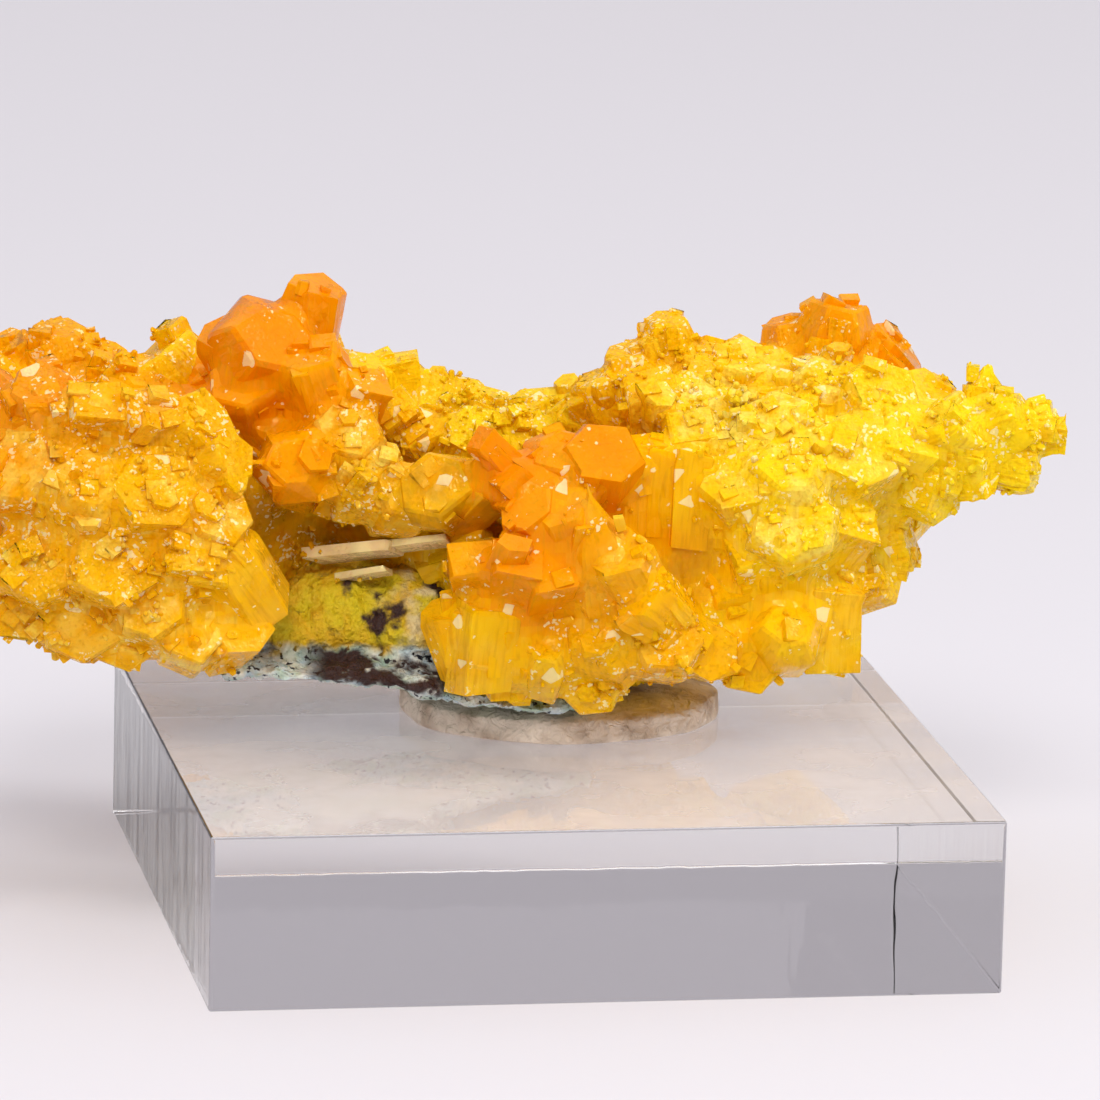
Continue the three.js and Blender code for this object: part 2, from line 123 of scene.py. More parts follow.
# Every crystal is (habit, (right, up, back), (radius, length), (lean, nod, turn)).
# right and up are across the sight line and back is along the level behind the block's middle.
# lean tips the crystal's top to the right, nod tips it to the front, and turn spins it about itself.
LEFT_MASS: tuple[Entry, ...] = (
    (PRISM, (-35.6, 3.4, -1), (2.3, 5.6), (-62, 20, 10)),
    (PRISM, (-34.8, 6.2, 0), (2.1, 5.2), (-42, 10, 30)),
    (BLOCK, (-34.4, 0.2, -2), (2.0, 5.0), (-74, 30, 25)),
    (PRISM, (-33.2, -1.6, -4), (2.2, 4.8), (-100, 30, 0)),
    (BARREL, (-28.3, 7.8, -8.2), (2.5, 5.0), (-16, 34, 10)),
    (PRISM, (-31.2, 7.0, -6.4), (2.6, 5.4), (-34, 24, 40)),
    (BLOCK, (-25.8, 7.5, -9.0), (2.1, 4.4), (12, 50, 18)),
    (BLOCK, (-23.2, 7.2, -9.0), (2.0, 4.4), (28, 44, 38)),
    (PRISM, (-20.5, 6.5, -8.0), (2.4, 4.8), (44, 36, 10)),
    (TABLE, (-18.9, 4.9, -9.2), (1.9, 3.4), (58, 34, 25)),
    (PRISM, (-29.9, 4.0, -9.2), (2.8, 5.0), (-24, 54, 30)),
    (BARREL, (-26.2, 3.6, -9.8), (3.0, 4.8), (8, 62, 0)),
    (PRISM, (-22.6, 2.8, -9.6), (2.9, 4.8), (20, 56, 20)),
    (TABLE, (-19.6, 1.8, -9.2), (2.4, 4.2), (52, 50, 35)),
    (PRISM, (-28.8, -0.6, -9.0), (3.1, 4.8), (-20, 72, 14)),
    (PRISM, (-24.6, -0.8, -9.6), (3.0, 4.8), (14, 70, 44)),
    (BLOCK, (-20.6, -0.6, -10.2), (2.0, 4.2), (24, 60, 22)),
    (BLOCK, (-19.6, -1.4, -9.8), (1.6, 3.6), (24, 60, 22)),
    (PRISM, (-30.2, -2.6, -7.0), (2.4, 4.8), (-40, 96, 10)),
    (TABLE, (-26.6, -3.9, -7.4), (2.8, 4.6), (-6, 84, 30)),
    (PRISM, (-24.2, -4.4, -7.4), (2.2, 4.4), (20, 104, 0)),
    (PRISM, (-22.2, -3.8, -9.2), (2.1, 4.6), (-24, 60, 16)),
    (PRISM, (-17.8, -1.8, -8.2), (2.4, 5.6), (-30, 30, 20)),
    (TABLE, (-20.6, -4.9, -8.4), (2.4, 4.0), (18, 64, 0)),
    (PRISM, (-18.2, -4.9, -7.6), (2.1, 4.4), (30, 54, 35)),
)

LEFT_TOP: tuple[Entry, ...] = (
    (BARREL, (-28.2, 10.8, 4), (2.3, 4.4), (-8, 10, 0)),
    (PRISM, (-30.7, 10.0, 4), (2.1, 4.4), (-30, 10, 20)),
    (BARREL, (-26.2, 10.0, 3), (2.0, 4.2), (14, 20, 10)),
    (PRISM, (-24.5, 8.9, 2), (2.2, 4.4), (30, 24, 30)),
    (PRISM, (-32.8, 9.1, 3), (2.3, 4.6), (-24, 0, 10)),
    (BLOCK, (-22.2, 9.4, 5), (2.3, 4.2), (-8, 10, 30)),
    (PRISM, (-20.5, 9.6, 6), (2.1, 4.4), (22, 0, 0)),
)

ORANGE_GROUP: tuple[Entry, ...] = (
    (BARREL, (-16.5, 11.3, -1.2), (3.5, 6.6), (22, 56, 14)),
    (PRISM, (-13.8, 12.8, -0.2), (1.9, 5.6), (6, 8, 24)),
    (PRISM, (-18.0, 11.1, -0.6), (1.9, 4.4), (-24, 28, 0)),
    (PRISM, (-17.2, 8.6, -2.0), (2.6, 5.0), (-10, 46, 30)),
    (BARREL, (-14.6, 4.7, -6.2), (2.4, 4.8), (6, 70, 16)),
    (TABLE, (-14.2, 4.9, -3.2), (2.6, 4.8), (0, 40, 40)),
    (PRISM, (-13.1, 8.9, -3.4), (2.2, 5.8), (-16, 22, 10)),
    (BLOCK, (-11.1, 8.1, -3.4), (1.8, 5.0), (22, 34, 30)),
    (PRISM, (-11.7, 6.1, -4.4), (2.2, 4.6), (12, 56, 0)),
)

SADDLE: tuple[Entry, ...] = (
    (BLOCK, (-9.8, 9.6, 5), (2.1, 4.8), (78, 0, 10)),
    (PRISM, (-11.5, 8.9, 3), (1.9, 4.6), (10, 10, 0)),
    (BLOCK, (-8.7, 7.4, 0.4), (1.8, 4.2), (-18, 52, 20)),
    (BLOCK, (-6.0, 7.0, 5), (1.8, 4.2), (-20, 12, 30)),
    (PRISM, (-3.9, 7.1, 5), (1.8, 4.2), (16, 10, 0)),
    (BLOCK, (-1.4, 6.9, 4.6), (1.9, 4.2), (-10, 16, 40)),
    (PRISM, (-7.0, 6.2, 1.2), (2.1, 4.6), (-12, 44, 20)),
    (TABLE, (-4.4, 6.0, 0.4), (2.2, 4.4), (10, 50, 0)),
    (BLOCK, (-1.8, 5.9, 0.6), (2.0, 4.6), (16, 46, 35)),
    (PRISM, (0.9, 6.3, 2), (2.1, 4.6), (24, 40, 10)),
    (BARREL, (-10.7, 4.0, -5.0), (2.4, 4.8), (20, 36, 0)),
    (TABLE, (-8.7, 2.7, -5.0), (2.3, 4.4), (30, 50, 20)),
    (TABLE, (-6.2, 3.3, -6.2), (2.7, 3.8), (-26, 58, 20)),
    (PRISM, (-4.4, 2.8, -5.8), (2.1, 5.2), (40, 34, 30)),
    (BLADE, (-11.2, -0.1, -3.4), (1.5, 6.0), (76, 28, 62)),
    (BLADE, (-7.4, 0.4, -5.2), (1.1, 4.2), (74, 30, 60)),
    (BLADE, (-10.7, -1.4, -3.2), (0.9, 3.4), (72, 30, 60)),
)

MIDDLE_FRONT: tuple[Entry, ...] = (
    (BLOCK, (-2.8, 5.2, -7.8), (1.2, 4.2), (-44, 22, 28)),
    (BLOCK, (-1.4, 3.2, -8.2), (1.3, 4.4), (-42, 30, 20)),
    (PRISM, (-0.6, 1.6, -8.4), (1.8, 4.6), (-38, 44, 10)),
    (PRISM, (1.0, 1.0, -8.4), (1.9, 4.8), (-14, 40, 0)),
    (BLOCK, (-4.4, -1.0, -8.0), (1.9, 4.4), (-4, 60, 8)),
    (BLOCK, (-1.9, -1.4, -9.0), (2.0, 5.0), (6, 54, 4)),
    (BLOCK, (-0.1, -2.1, -9.0), (1.9, 4.6), (14, 54, 24)),
    (POINT, (2.5, 0.0, -9.0), (2.2, 7.2), (-8, 22, 14)),
    (PRISM, (4.6, -1.8, -8.4), (2.1, 6.2), (-24, 36, 0)),
    (PRISM, (6.2, -3.6, -7.8), (2.0, 5.4), (-38, 42, 20)),
    (BARREL, (0.5, 4.8, -6.2), (2.4, 4.8), (-4, 54, 30)),
    (PRISM, (2.9, 4.5, -6.6), (2.4, 5.0), (4, 48, 0)),
    (BLOCK, (5.0, 3.7, -5.6), (1.5, 5.8), (0, 6, 12)),
    (BLOCK, (6.5, 3.4, -5.6), (1.4, 5.4), (2, 6, 6)),
    (BLOCK, (7.9, 3.0, -5.6), (1.5, 5.6), (4, 8, 14)),
    (BLOCK, (9.1, 3.8, -4.8), (1.4, 4.8), (6, 10, 10)),
)

LOWER_FRONT: tuple[Entry, ...] = (
    (BLOCK, (-3.8, -5.4, -8.0), (2.1, 5.4), (4, 12, 30)),
    (PRISM, (-5.4, -5.1, -6.6), (1.6, 4.6), (-18, 16, 0)),
    (PRISM, (-2.1, -6.0, -6.4), (1.7, 4.8), (12, 20, 20)),
    (BARREL, (-0.3, -6.5, -7.0), (1.8, 4.2), (4, 46, 0)),
    (BARREL, (3.2, -5.2, -6.8), (2.8, 4.8), (-20, 48, 30)),
    (TABLE, (6.4, -5.5, -6.4), (2.5, 4.4), (14, 62, 10)),
    (PRISM, (2.4, -7.2, -5.2), (2.0, 4.2), (0, 106, 10)),
    (PRISM, (8.8, -5.8, -5.2), (2.1, 4.2), (30, 72, 0)),
    (BLOCK, (10.4, -3.0, -3.8), (2.4, 5.0), (6, 40, 24)),
    (BARREL, (13.4, -4.9, -5.0), (2.4, 4.6), (10, 56, 20)),
    (BLOCK, (15.9, -4.2, -2.8), (2.4, 5.0), (4, 14, 20)),
    (BLOCK, (13.2, -2.3, -4.2), (2.1, 4.8), (0, 30, 10)),
    (PRISM, (11.4, -6.0, -3.6), (2.2, 4.2), (10, 96, 0)),
    (PRISM, (17.6, -1.8, 0), (2.1, 4.6), (60, 20, 0)),
    (BLOCK, (18.7, 0.2, 1), (2.1, 4.8), (76, 10, 20)),
)

RIGHT_FRONT: tuple[Entry, ...] = (
    (BARREL, (13.4, 4.0, -5.2), (2.8, 4.8), (4, 54, 10)),
    (PRISM, (10.9, 3.0, -5.2), (2.3, 4.8), (-16, 48, 0)),
    (PRISM, (13.7, 0.8, -5.4), (2.8, 5.0), (6, 60, 28)),
    (BLOCK, (11.8, -0.9, -4.6), (2.2, 4.8), (-6, 46, 20)),
    (BLOCK, (16.4, 0.6, -3.4), (2.3, 4.8), (30, 40, 30)),
    (BLOCK, (5.8, 8.0, -2.0), (2.2, 4.8), (-4, 34, 12)),
    (PRISM, (8.2, 7.8, -1.6), (2.1, 4.6), (8, 40, 0)),
    (PRISM, (10.4, 6.6, -2.8), (2.3, 4.6), (6, 52, 20)),
    (BLOCK, (8.0, 6.0, -3.8), (2.0, 4.6), (0, 44, 10)),
    (PRISM, (12.8, 6.7, -2.8), (2.4, 4.8), (10, 54, 40)),
    (PRISM, (17.0, 4.9, -3.4), (2.7, 4.8), (20, 48, 0)),
    (BLOCK, (19.8, 5.6, -2.0), (2.5, 5.0), (30, 40, 20)),
)

RIGHT_TOP: tuple[Entry, ...] = (
    (BARREL, (3.5, 8.4, 0), (2.1, 4.6), (-34, 20, 0)),
    (BARREL, (5.0, 9.8, 1), (2.0, 4.4), (-16, 16, 20)),
    (BARREL, (6.8, 11.2, 2), (1.8, 4.6), (-4, 8, 0)),
    (PRISM, (8.6, 9.6, 2), (2.3, 4.8), (8, 20, 10)),
    (PRISM, (11.0, 9.3, 2), (2.3, 4.8), (4, 20, 40)),
    (BARREL, (14.4, 11.2, 6), (2.2, 4.6), (-16, 0, 10)),
    (BARREL, (16.5, 12.1, 5), (2.5, 5.0), (6, 8, 0)),
    (PRISM, (18.8, 10.4, 6), (2.2, 4.8), (40, 0, 20)),
    (PRISM, (12.6, 8.8, 2), (2.5, 4.8), (-6, 36, 0)),
    (BARREL, (15.8, 8.9, 1), (2.8, 5.0), (10, 42, 20)),
    (PRISM, (18.4, 8.1, 0), (2.5, 5.0), (26, 40, 10)),
    (PRISM, (21.0, 7.7, 2), (2.2, 4.8), (34, 20, 0)),
)

RIGHT_TIP: tuple[Entry, ...] = (
    (PRISM, (22.8, 6.5, -1), (2.3, 4.8), (44, 30, 20)),
    (POINT, (25.0, 8.4, 0), (1.5, 4.8), (4, 8, 0)),
    (PRISM, (25.3, 6.8, -1), (2.0, 4.8), (62, 20, 10)),
    (PRISM, (27.2, 7.0, 0), (1.6, 4.2), (72, 10, 30)),
    (BLOCK, (28.2, 6.5, 0), (1.2, 3.0), (84, 8, 20)),
    (PRISM, (25.8, 5.0, -1), (1.5, 4.4), (96, 24, 0)),
    (BLOCK, (23.4, 4.8, -1), (1.9, 4.8), (92, 34, 20)),
    (PRISM, (21.0, 3.8, -1), (2.0, 4.8), (98, 34, 0)),
)


@dataclass(frozen=True)
class HabitShape:
    """A crystal's form, at a radius and a length of one.

    Attributes:
        sides: how many side faces it has.
        flat: how thick it is, as a share of its width.
        rings: outlines from the root to the tip, each (share of the radius, share of the length).
    """

    sides: int
    flat: float
    rings: tuple[Pair, ...]


SHAPES: dict[Habit, HabitShape] = {
    PRISM: HabitShape(6, 0.86, ((1, -0.5), (1, 0.4), (0.88, 0.5))),
    BARREL: HabitShape(6, 1, ((0.72, -0.5), (0.97, -0.1), (1, 0.16), (0.66, 0.5))),
    POINT: HabitShape(6, 0.8, ((0.95, -0.5), (1, 0.08), (0.16, 0.5))),
    TABLE: HabitShape(6, 0.9, ((0.84, -0.5), (1, 0.1), (0.86, 0.5))),
    BLOCK: HabitShape(4, 0.8, ((1, -0.5), (1, 0.43), (0.93, 0.5))),
    BLADE: HabitShape(4, 0.3, ((1, -0.5), (0.96, 0.44), (0.86, 0.5))),
}


class Use(IntEnum):
    """What a chance is for. WOBBLE, FINE_TILT, CRUST_PLACE and FINE_PLACE take three numbers each."""

    BACK_SHIFT = 1
    BACK_STEP = 2
    BACK_RADIUS = 3
    BACK_NOD = 4
    BACK_LEAN = 5
    BACK_HABIT = 6
    BACK_LENGTH = 7
    BACK_TURN = 8
    SHOOT_AROUND = 11
    SHOOT_RADIUS = 12
    SHOOT_PROUD = 14
    SHOOT_OUT = 15
    SHOOT_HEIGHT = 16
    WOBBLE = 17
    SHOOT_HABIT = 20
    THICK = 21
    LONG = 22
    WARMTH = 30
    VEIL = 31
    FINE_RADIUS = 41
    FINE_LENGTH = 42
    FINE_TILT = 43
    CRUST_PLACE = 51
    CRUST_KEPT = 54
    CRUST_RADIUS = 55
    CRUST_DEPTH = 56
    CRUST_HABIT = 57
    FINE_PLACE = 61
    FINE_KEPT = 64


def chance(n: float, use: float) -> float:
    """A number from 0 to 1 that depends only on n and use.

    Args:
        n: which thing it is for.
        use: what the number is used for.

    Returns:
        The number, the same on every run.
    """
    wave = math.sin(n * 12.9898 + use * 78.233) * 43758.5453
    return wave - math.floor(wave)


def chances(numbers: np.ndarray, use: float) -> np.ndarray:
    """The chance of each of many numbers, for one use."""
    waves = np.sin(numbers * 12.9898 + use * 78.233) * 43758.5453
    return waves - np.floor(waves)


def between(ends: Pair, share: float) -> float:
    """The number that lies this share of the way from the first end to the second."""
    return ends[0] + (ends[1] - ends[0]) * share


def one_of(options: tuple[Habit, ...], n: float, use: float) -> Habit:
    """The option that chance picks for n and use."""
    return options[int(len(options) * chance(n, use))]


@dataclass(frozen=True)
class SightLine:
    """The line of sight along which the crystals were placed.

    Attributes:
        angle: degrees above level.
        roll: degrees.
        height: of the point that it meets over the block's middle, in millimetres.
        turn: degrees by which the specimen is turned on its block.
        lens: focal length in millimetres, on a sensor 36 mm wide.
        distance: from the camera to that point, in millimetres.
    """

    angle: float = 12.6
    roll: float = 1.3
    height: float = 20.9
    turn: float = -9.8
    lens: float = 294.5
    distance: float = 520

    def place(self, right: float, up: float, back: float) -> Vector:
        """A place in the specimen's own frame.

        Args:
            right: millimetres to the right of the line of sight.
            up: millimetres above it.
            back: millimetres behind the block's middle.

        Returns:
            The place in millimetres.
        """
        roll, angle = math.radians(self.roll), math.radians(self.angle)
        across = right * math.cos(roll) - up * math.sin(roll)
        rise = right * math.sin(roll) + up * math.cos(roll)
        height = self.height + (rise - back * math.sin(angle)) / math.cos(angle)
        return Vector((across, back, height))

    def specimen_to_row(self) -> Matrix:
        """The matrix from the specimen's millimetres to the row frame's metres."""
        return Matrix.Rotation(math.radians(self.turn), 4, "Z") @ Matrix.Scale(MM, 4)


def pick(piece: Object) -> None:
    """Makes a piece the only selected one, and the active one.

    Args:
        piece: the piece.
    """
    bpy.ops.object.select_all(action="DESELECT")
    piece.select_set(True)
    bpy.context.view_layer.objects.active = piece


def start(operator: Callable[..., set[str]], name: str, **settings: Any) -> Object:
    """Adds a primitive with nothing else selected, its place, turn and scale in its mesh.

    Args:
        operator: the operator that adds it.
        name: the new piece's name.
        **settings: the operator's settings.

    Returns:
        The new piece.
    """
    bpy.ops.object.select_all(action="DESELECT")
    operator(**settings)
    bpy.ops.object.transform_apply(location=True, rotation=True, scale=True)
    piece = bpy.context.object
    piece.name = name
    return piece


def start_outline(name: str, sides: int, radius: float = 1, **settings: Any) -> Object:
    """Adds a flat outline, one face, to draw a body from.

    Args:
        name: the new piece's name.
        sides: how many sides it has.
        radius: its radius.
        **settings: its place and turn.

    Returns:
        The new piece.
    """
    shape = {"vertices": sides, "radius": radius, "fill_type": "NGON"}
    return start(bpy.ops.mesh.primitive_circle_add, name, **shape, **settings)


@contextmanager
def editing(piece: Object, kind: str = "FACE") -> Iterator[None]:
    """Opens a piece in edit mode with nothing selected, and closes it afterwards.

    Args:
        piece: the piece.
        kind: VERT, EDGE or FACE, what is selected.
    """
    pick(piece)
    bpy.ops.object.mode_set(mode="EDIT")
    bpy.ops.mesh.select_mode(type=kind)
    bpy.ops.mesh.select_all(action="DESELECT")
    yield
    bpy.ops.object.mode_set(mode="OBJECT")


def select_faces(piece: Object, wanted: Callable[[Any], bool]) -> None:
    """Selects the faces of the piece in edit mode that pass a test, and no others.

    Args:
        piece: the piece.
        wanted: the test, which is given a bmesh face.
    """
    mesh = bmesh.from_edit_mesh(piece.data)
    for face in mesh.faces:
        face.select_set(False)
    for face in mesh.faces:
        if wanted(face):
            face.select_set(True)
    bmesh.update_edit_mesh(piece.data)


def modify(piece: Object, kind: str, **settings: Any) -> None:
    """Adds a modifier to a piece and applies it.

    Args:
        piece: the piece.
        kind: the modifier's type.
        **settings: the modifier's settings.
    """
    pick(piece)
    modifier = piece.modifiers.new(kind.title(), kind)
    for key, value in settings.items():
        setattr(modifier, key, value)
    bpy.ops.object.modifier_apply(modifier=modifier.name)


def unite(piece: Object, others: Iterable[Mesh]) -> None:
    """Joins other closed meshes to a piece as one skin, and uses them up.

    Args:
        piece: the piece.
        others: the meshes.
    """
    pool = bpy.data.collections.new("pool")
    for mesh in others:
        pool.objects.link(bpy.data.objects.new("pool", mesh))
    settings = {"operation": "UNION", "operand_type": "COLLECTION", "solver": "MANIFOLD"}
    modify(piece, "BOOLEAN", collection=pool, **settings)
    for used in list(pool.objects):
        bpy.data.meshes.remove(used.data)
    bpy.data.collections.remove(pool)


def take_mesh(piece: Object) -> Mesh:
    """Removes an object and keeps its mesh.

    Args:
        piece: the object.

    Returns:
        The mesh.
    """
    mesh = piece.data
    bpy.data.objects.remove(piece)
    return mesh


def draw_through(piece: Object, sections: Iterable[Section], swell: float) -> None:
    """Draws a flat outline of radius one, which faces along X, through sections to a closed body.

    Args:
        piece: the outline, one face about the origin.
        sections: each (across, front, back, low, high).
        swell: how much larger than its section each outline is drawn.
    """
    middle, size = Vector(), (1.0, 1.0)
    with editing(piece):
        bpy.ops.mesh.select_all(action="SELECT")
        for n, (across, front, back, low, high) in enumerate(sections):
            target = Vector((across, (front + back) / 2, (low + high) / 2))
            wanted = ((back - front) / 2 * swell, (high - low) / 2 * swell)
            move = {"value": tuple(target - middle)}
            if n:
                bpy.ops.mesh.extrude_region_move(TRANSFORM_OT_translate=move)
            else:
                bpy.ops.transform.translate(**move)
            grow = (1, wanted[0] / size[0], wanted[1] / size[1])
            bpy.ops.transform.resize(value=grow, center_override=tuple(target))
            middle, size = target, wanted
        bpy.ops.mesh.select_all(action="SELECT")
        bpy.ops.mesh.normals_make_consistent(inside=False)


def scatter(mesh: Mesh, count: int, use: float) -> tuple[np.ndarray, np.ndarray]:
    """Places spread evenly over a mesh.

    Args:
        mesh: the mesh.
        count: how many places.
        use: what they are used for, so that two uses differ.

    Returns:
        The places and the mesh's normals there.
    """
    mesh.calc_loop_triangles()
    ends = np.empty(len(mesh.loop_triangles) * 3, dtype=np.int32)
    mesh.loop_triangles.foreach_get("vertices", ends)
    points = np.empty(len(mesh.vertices) * 3)
    mesh.vertices.foreach_get("co", points)
    a, b, c = np.moveaxis(points.reshape(-1, 3)[ends.reshape(-1, 3)], 1, 0)
    across = np.cross(b - a, c - a)
    areas = np.linalg.norm(across, axis=1)
    total = np.cumsum(areas)
    tries = np.arange(count)
    chosen = np.searchsorted(total, chances(tries, use) * total[-1])
    u, v = chances(tries, use + 1), chances(tries, use + 2)
    u, v = np.where(u + v > 1, 1 - u, u), np.where(u + v > 1, 1 - v, v)
    places = a[chosen] + (b - a)[chosen] * u[:, None] + (c - a)[chosen] * v[:, None]
    return places, across[chosen] / np.maximum(areas[chosen], 1e-12)[:, None]


def dress(
    piece: Object,
    material: Material,
    nodes: Iterable[str],
    degrees: float,
) -> None:
    """Gives a piece its finish and its shading, puts it in its body, and hides the CAD nodes that it stands
    for.

    Args:
        piece: the piece, with its place in its mesh.
        material: its finish.
        nodes: the CAD nodes that it stands for.
        degrees: edges flatter than this are shaded smooth.
    """
    piece.data.materials.clear()
    piece.data.materials.append(material)
    pick(piece)
    bpy.ops.object.shade_smooth_by_angle(angle=math.radians(degrees))
    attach(piece, BODY)
    for node in nodes:
        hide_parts(node)
    log.info("%s: %d faces", piece.name, len(piece.data.polygons))


class Nodes:
    """A short way to lay out one material's or one group's nodes."""

    def __init__(self, tree: NodeTree, effects: "SharedEffects | None" = None) -> None:
        """Starts on a material's or a group's tree, which may use the shared effects."""
        self.tree, self.effects = tree, effects

    def add(self, kind: str, **inputs: Any) -> Node:
        """Adds a node.

        Args:
            kind: its type, without the leading "ShaderNode".
            **inputs: values or sockets for its inputs, with _ for a space. A name that isn't an input
                is set as one of the node's own settings.

        Returns:
            The node.
        """
        node = self.tree.nodes.new("ShaderNode" + kind)
        sockets = {}
        for key, value in inputs.items():
            if hasattr(node, key):
                setattr(node, key, value)
            else:
                sockets[key] = value
        for key, value in sockets.items():
            self.feed(node, key, value)
        return node

    def feed(self, node: Node, key: str, value: Any) -> None:
        """Sets one input.

        Args:
            node: the node.
            key: the input's name with _ for a space, or in and its number.
            value: a value, or the socket that feeds it.
        """
        if key.startswith("in") and key[2:].isdigit():
            socket = node.inputs[int(key[2:])]
        else:
            socket = node.inputs[key.replace("_", " ")]
        if isinstance(value, NodeSocket):
            self.tree.links.new(value, socket)
        elif socket.type == "RGBA" and len(value) == 3:
            socket.default_value = (*value, 1)
        else:
            socket.default_value = value

    def maths(self, operation: str, *values: Any, clamp: bool = False) -> NodeSocket:
        """A Math node's result.

        Args:
            operation: such as ADD.
            *values: its inputs in order.
            clamp: whether the result is held between 0 and 1.

        Returns:
            The result's socket.
        """
        inputs = {f"in{i}": value for i, value in enumerate(values)}
        return self.add("Math", operation=operation, use_clamp=clamp, **inputs).outputs[0]

    def ramp(self, value: Any, low: float, high: float) -> NodeSocket:
        """A smooth 0 to 1 as value goes from low to high, which may be the larger."""
        ends = {"From_Min": low, "From_Max": high}
        return self.add("MapRange", interpolation_type="SMOOTHSTEP", Value=value, **ends).outputs["Result"]

    def span(self, value: Any, rise: Pair, fall: Pair) -> NodeSocket:
        """A smooth 0 to 1 where value rises through one pair, and back to 0 at the other's first."""
        return self.maths("MULTIPLY", self.ramp(value, *rise), self.ramp(value, *fall))

    def bump(self, height: Any) -> NodeSocket:
        """The normal of a surface with this height, in millimetres."""
        return self.add("Bump", Strength=1.0, Distance=MM, Height=height).outputs[0]

    def mix(self, share: Any, first: Any, second: Any) -> NodeSocket:
        """The colour this share of the way from the first to the second."""
        return self.add("Mix", data_type="RGBA", in0=share, in6=first, in7=second).outputs[2]

    def group(self, tree: NodeTree, **inputs: Any) -> Node:
        """Places a shared group with this material's own values."""
        return self.add("Group", node_tree=tree, **inputs)

    def cloud(self, where: Any, scale: float, detail: float, **more: Any) -> NodeSocket:
        """Noise of this scale, with so many finer layers."""
        return self.add("TexNoise", Vector=where, Scale=scale, Detail=detail, **more).outputs[0]

    def stretch(self, where: Any, scale: Place) -> NodeSocket:
        """The places, drawn out or pressed together along each axis."""
        return self.add("Mapping", Vector=where, Scale=scale).outputs[0]

    def millimetres(self, turn: float = 0) -> NodeSocket:
        """Object coordinates in millimetres, turned back by so many degrees about the vertical."""
        change = {"Rotation": (0, 0, math.radians(turn)), "Scale": (MM, MM, MM)}
        where = self.add("TexCoord").outputs["Object"]
        return self.add("Mapping", vector_type="TEXTURE", Vector=where, **change).outputs[0]


def group_tree(name: str, inputs: dict[str, float], outputs: tuple[str, ...]) -> NodeTree:
    """Starts a shared node group with a Vector input, number inputs and number outputs.

    Args:
        name: the group's name.
        inputs: the number inputs and their values at first.
        outputs: the outputs' names.

    Returns:
        The group, with its two end nodes.
    """
    tree = bpy.data.node_groups.new(name, "ShaderNodeTree")
    tree.interface.new_socket("Vector", in_out="INPUT", socket_type="NodeSocketVector")
    for key, value in inputs.items():
        socket = tree.interface.new_socket(key, in_out="INPUT", socket_type="NodeSocketFloat")
        socket.default_value = value
    for key in outputs:
        tree.interface.new_socket(key, in_out="OUTPUT", socket_type="NodeSocketFloat")
    tree.nodes.new("NodeGroupInput")
    tree.nodes.new("NodeGroupOutput")
    return tree


@dataclass(frozen=True)
class SharedEffects:
    """The node groups that more than one finish uses.

    Attributes:
        mottle: soft patches of a stated size, as a mask from 0 to 1.
        facets: small flat faces that each tilt their own way, as a height in millimetres.
    """

    mottle: NodeTree
    facets: NodeTree

    @classmethod
    def build(cls) -> "SharedEffects":
        """Makes the groups once."""
        return cls(cls._mottle(), cls._facets())

    @staticmethod
    def _mottle() -> NodeTree:
        """Patches from noise: Size in millimetres, Level where they begin, and Blur of their edge."""
        tree = group_tree("Mottle", {"Size": 3, "Level": 0.5, "Blur": 0.1, "Detail": 3}, ("Mask",))
        nodes = Nodes(tree)
        given, result = tree.nodes["Group Input"], tree.nodes["Group Output"]
        scale = nodes.maths("DIVIDE", 1.0, given.outputs["Size"])
        cloud = nodes.add("TexNoise", Vector=given.outputs["Vector"], Scale=scale)
        nodes.feed(cloud, "Detail", given.outputs["Detail"])
        low = nodes.maths("SUBTRACT", given.outputs["Level"], given.outputs["Blur"])
        high = nodes.maths("ADD", given.outputs["Level"], given.outputs["Blur"])
        step = nodes.add("MapRange", interpolation_type="SMOOTHSTEP", Value=cloud.outputs[0])
        nodes.feed(step, "From_Min", low)
        nodes.feed(step, "From_Max", high)
        tree.links.new(step.outputs[0], result.inputs["Mask"])
        return tree

    @staticmethod
    def _facets() -> NodeTree:
        """Cells of Size millimetres, each a plane that rises by up to Slope, with a Chance of its own."""
        tree = group_tree("Facets", {"Size": 1, "Slope": 0.3}, ("Height", "Chance"))
        nodes = Nodes(tree)
        given, result = tree.nodes["Group Input"], tree.nodes["Group Output"]
        scale = nodes.maths("DIVIDE", 1.0, given.outputs["Size"])
        cells = nodes.add("TexVoronoi", Vector=given.outputs["Vector"], Scale=scale)
        tilt = nodes.add("VectorMath", operation="SUBTRACT", in0=cells.outputs["Color"], in1=(0.5,) * 3)
        offset = nodes.add(
            "VectorMath",
            operation="SUBTRACT",
            in0=given.outputs["Vector"],
            in1=cells.outputs["Position"],
        )
        rise = nodes.add("VectorMath", operation="DOT_PRODUCT", in0=offset.outputs[0], in1=tilt.outputs[0])
        height = nodes.maths("MULTIPLY", rise.outputs["Value"], given.outputs["Slope"])
        tree.links.new(height, result.inputs["Height"])
        share = nodes.add("SeparateXYZ", Vector=cells.outputs["Color"]).outputs[0]
        tree.links.new(share, result.inputs["Chance"])
        return tree


def new_material(
    name: str, effects: SharedEffects | None = None
) -> tuple[Material, Nodes, Node]:
    """Starts a material.

    Args:
        name: its name.
        effects: the shared node groups, if it uses them.

    Returns:
        The material, its nodes, and its output node.
    """
    material = bpy.data.materials.new(name)
    material.use_nodes = True
    material.node_tree.nodes.clear()
    nodes = Nodes(material.node_tree, effects)
    return material, nodes, nodes.add("OutputMaterial")


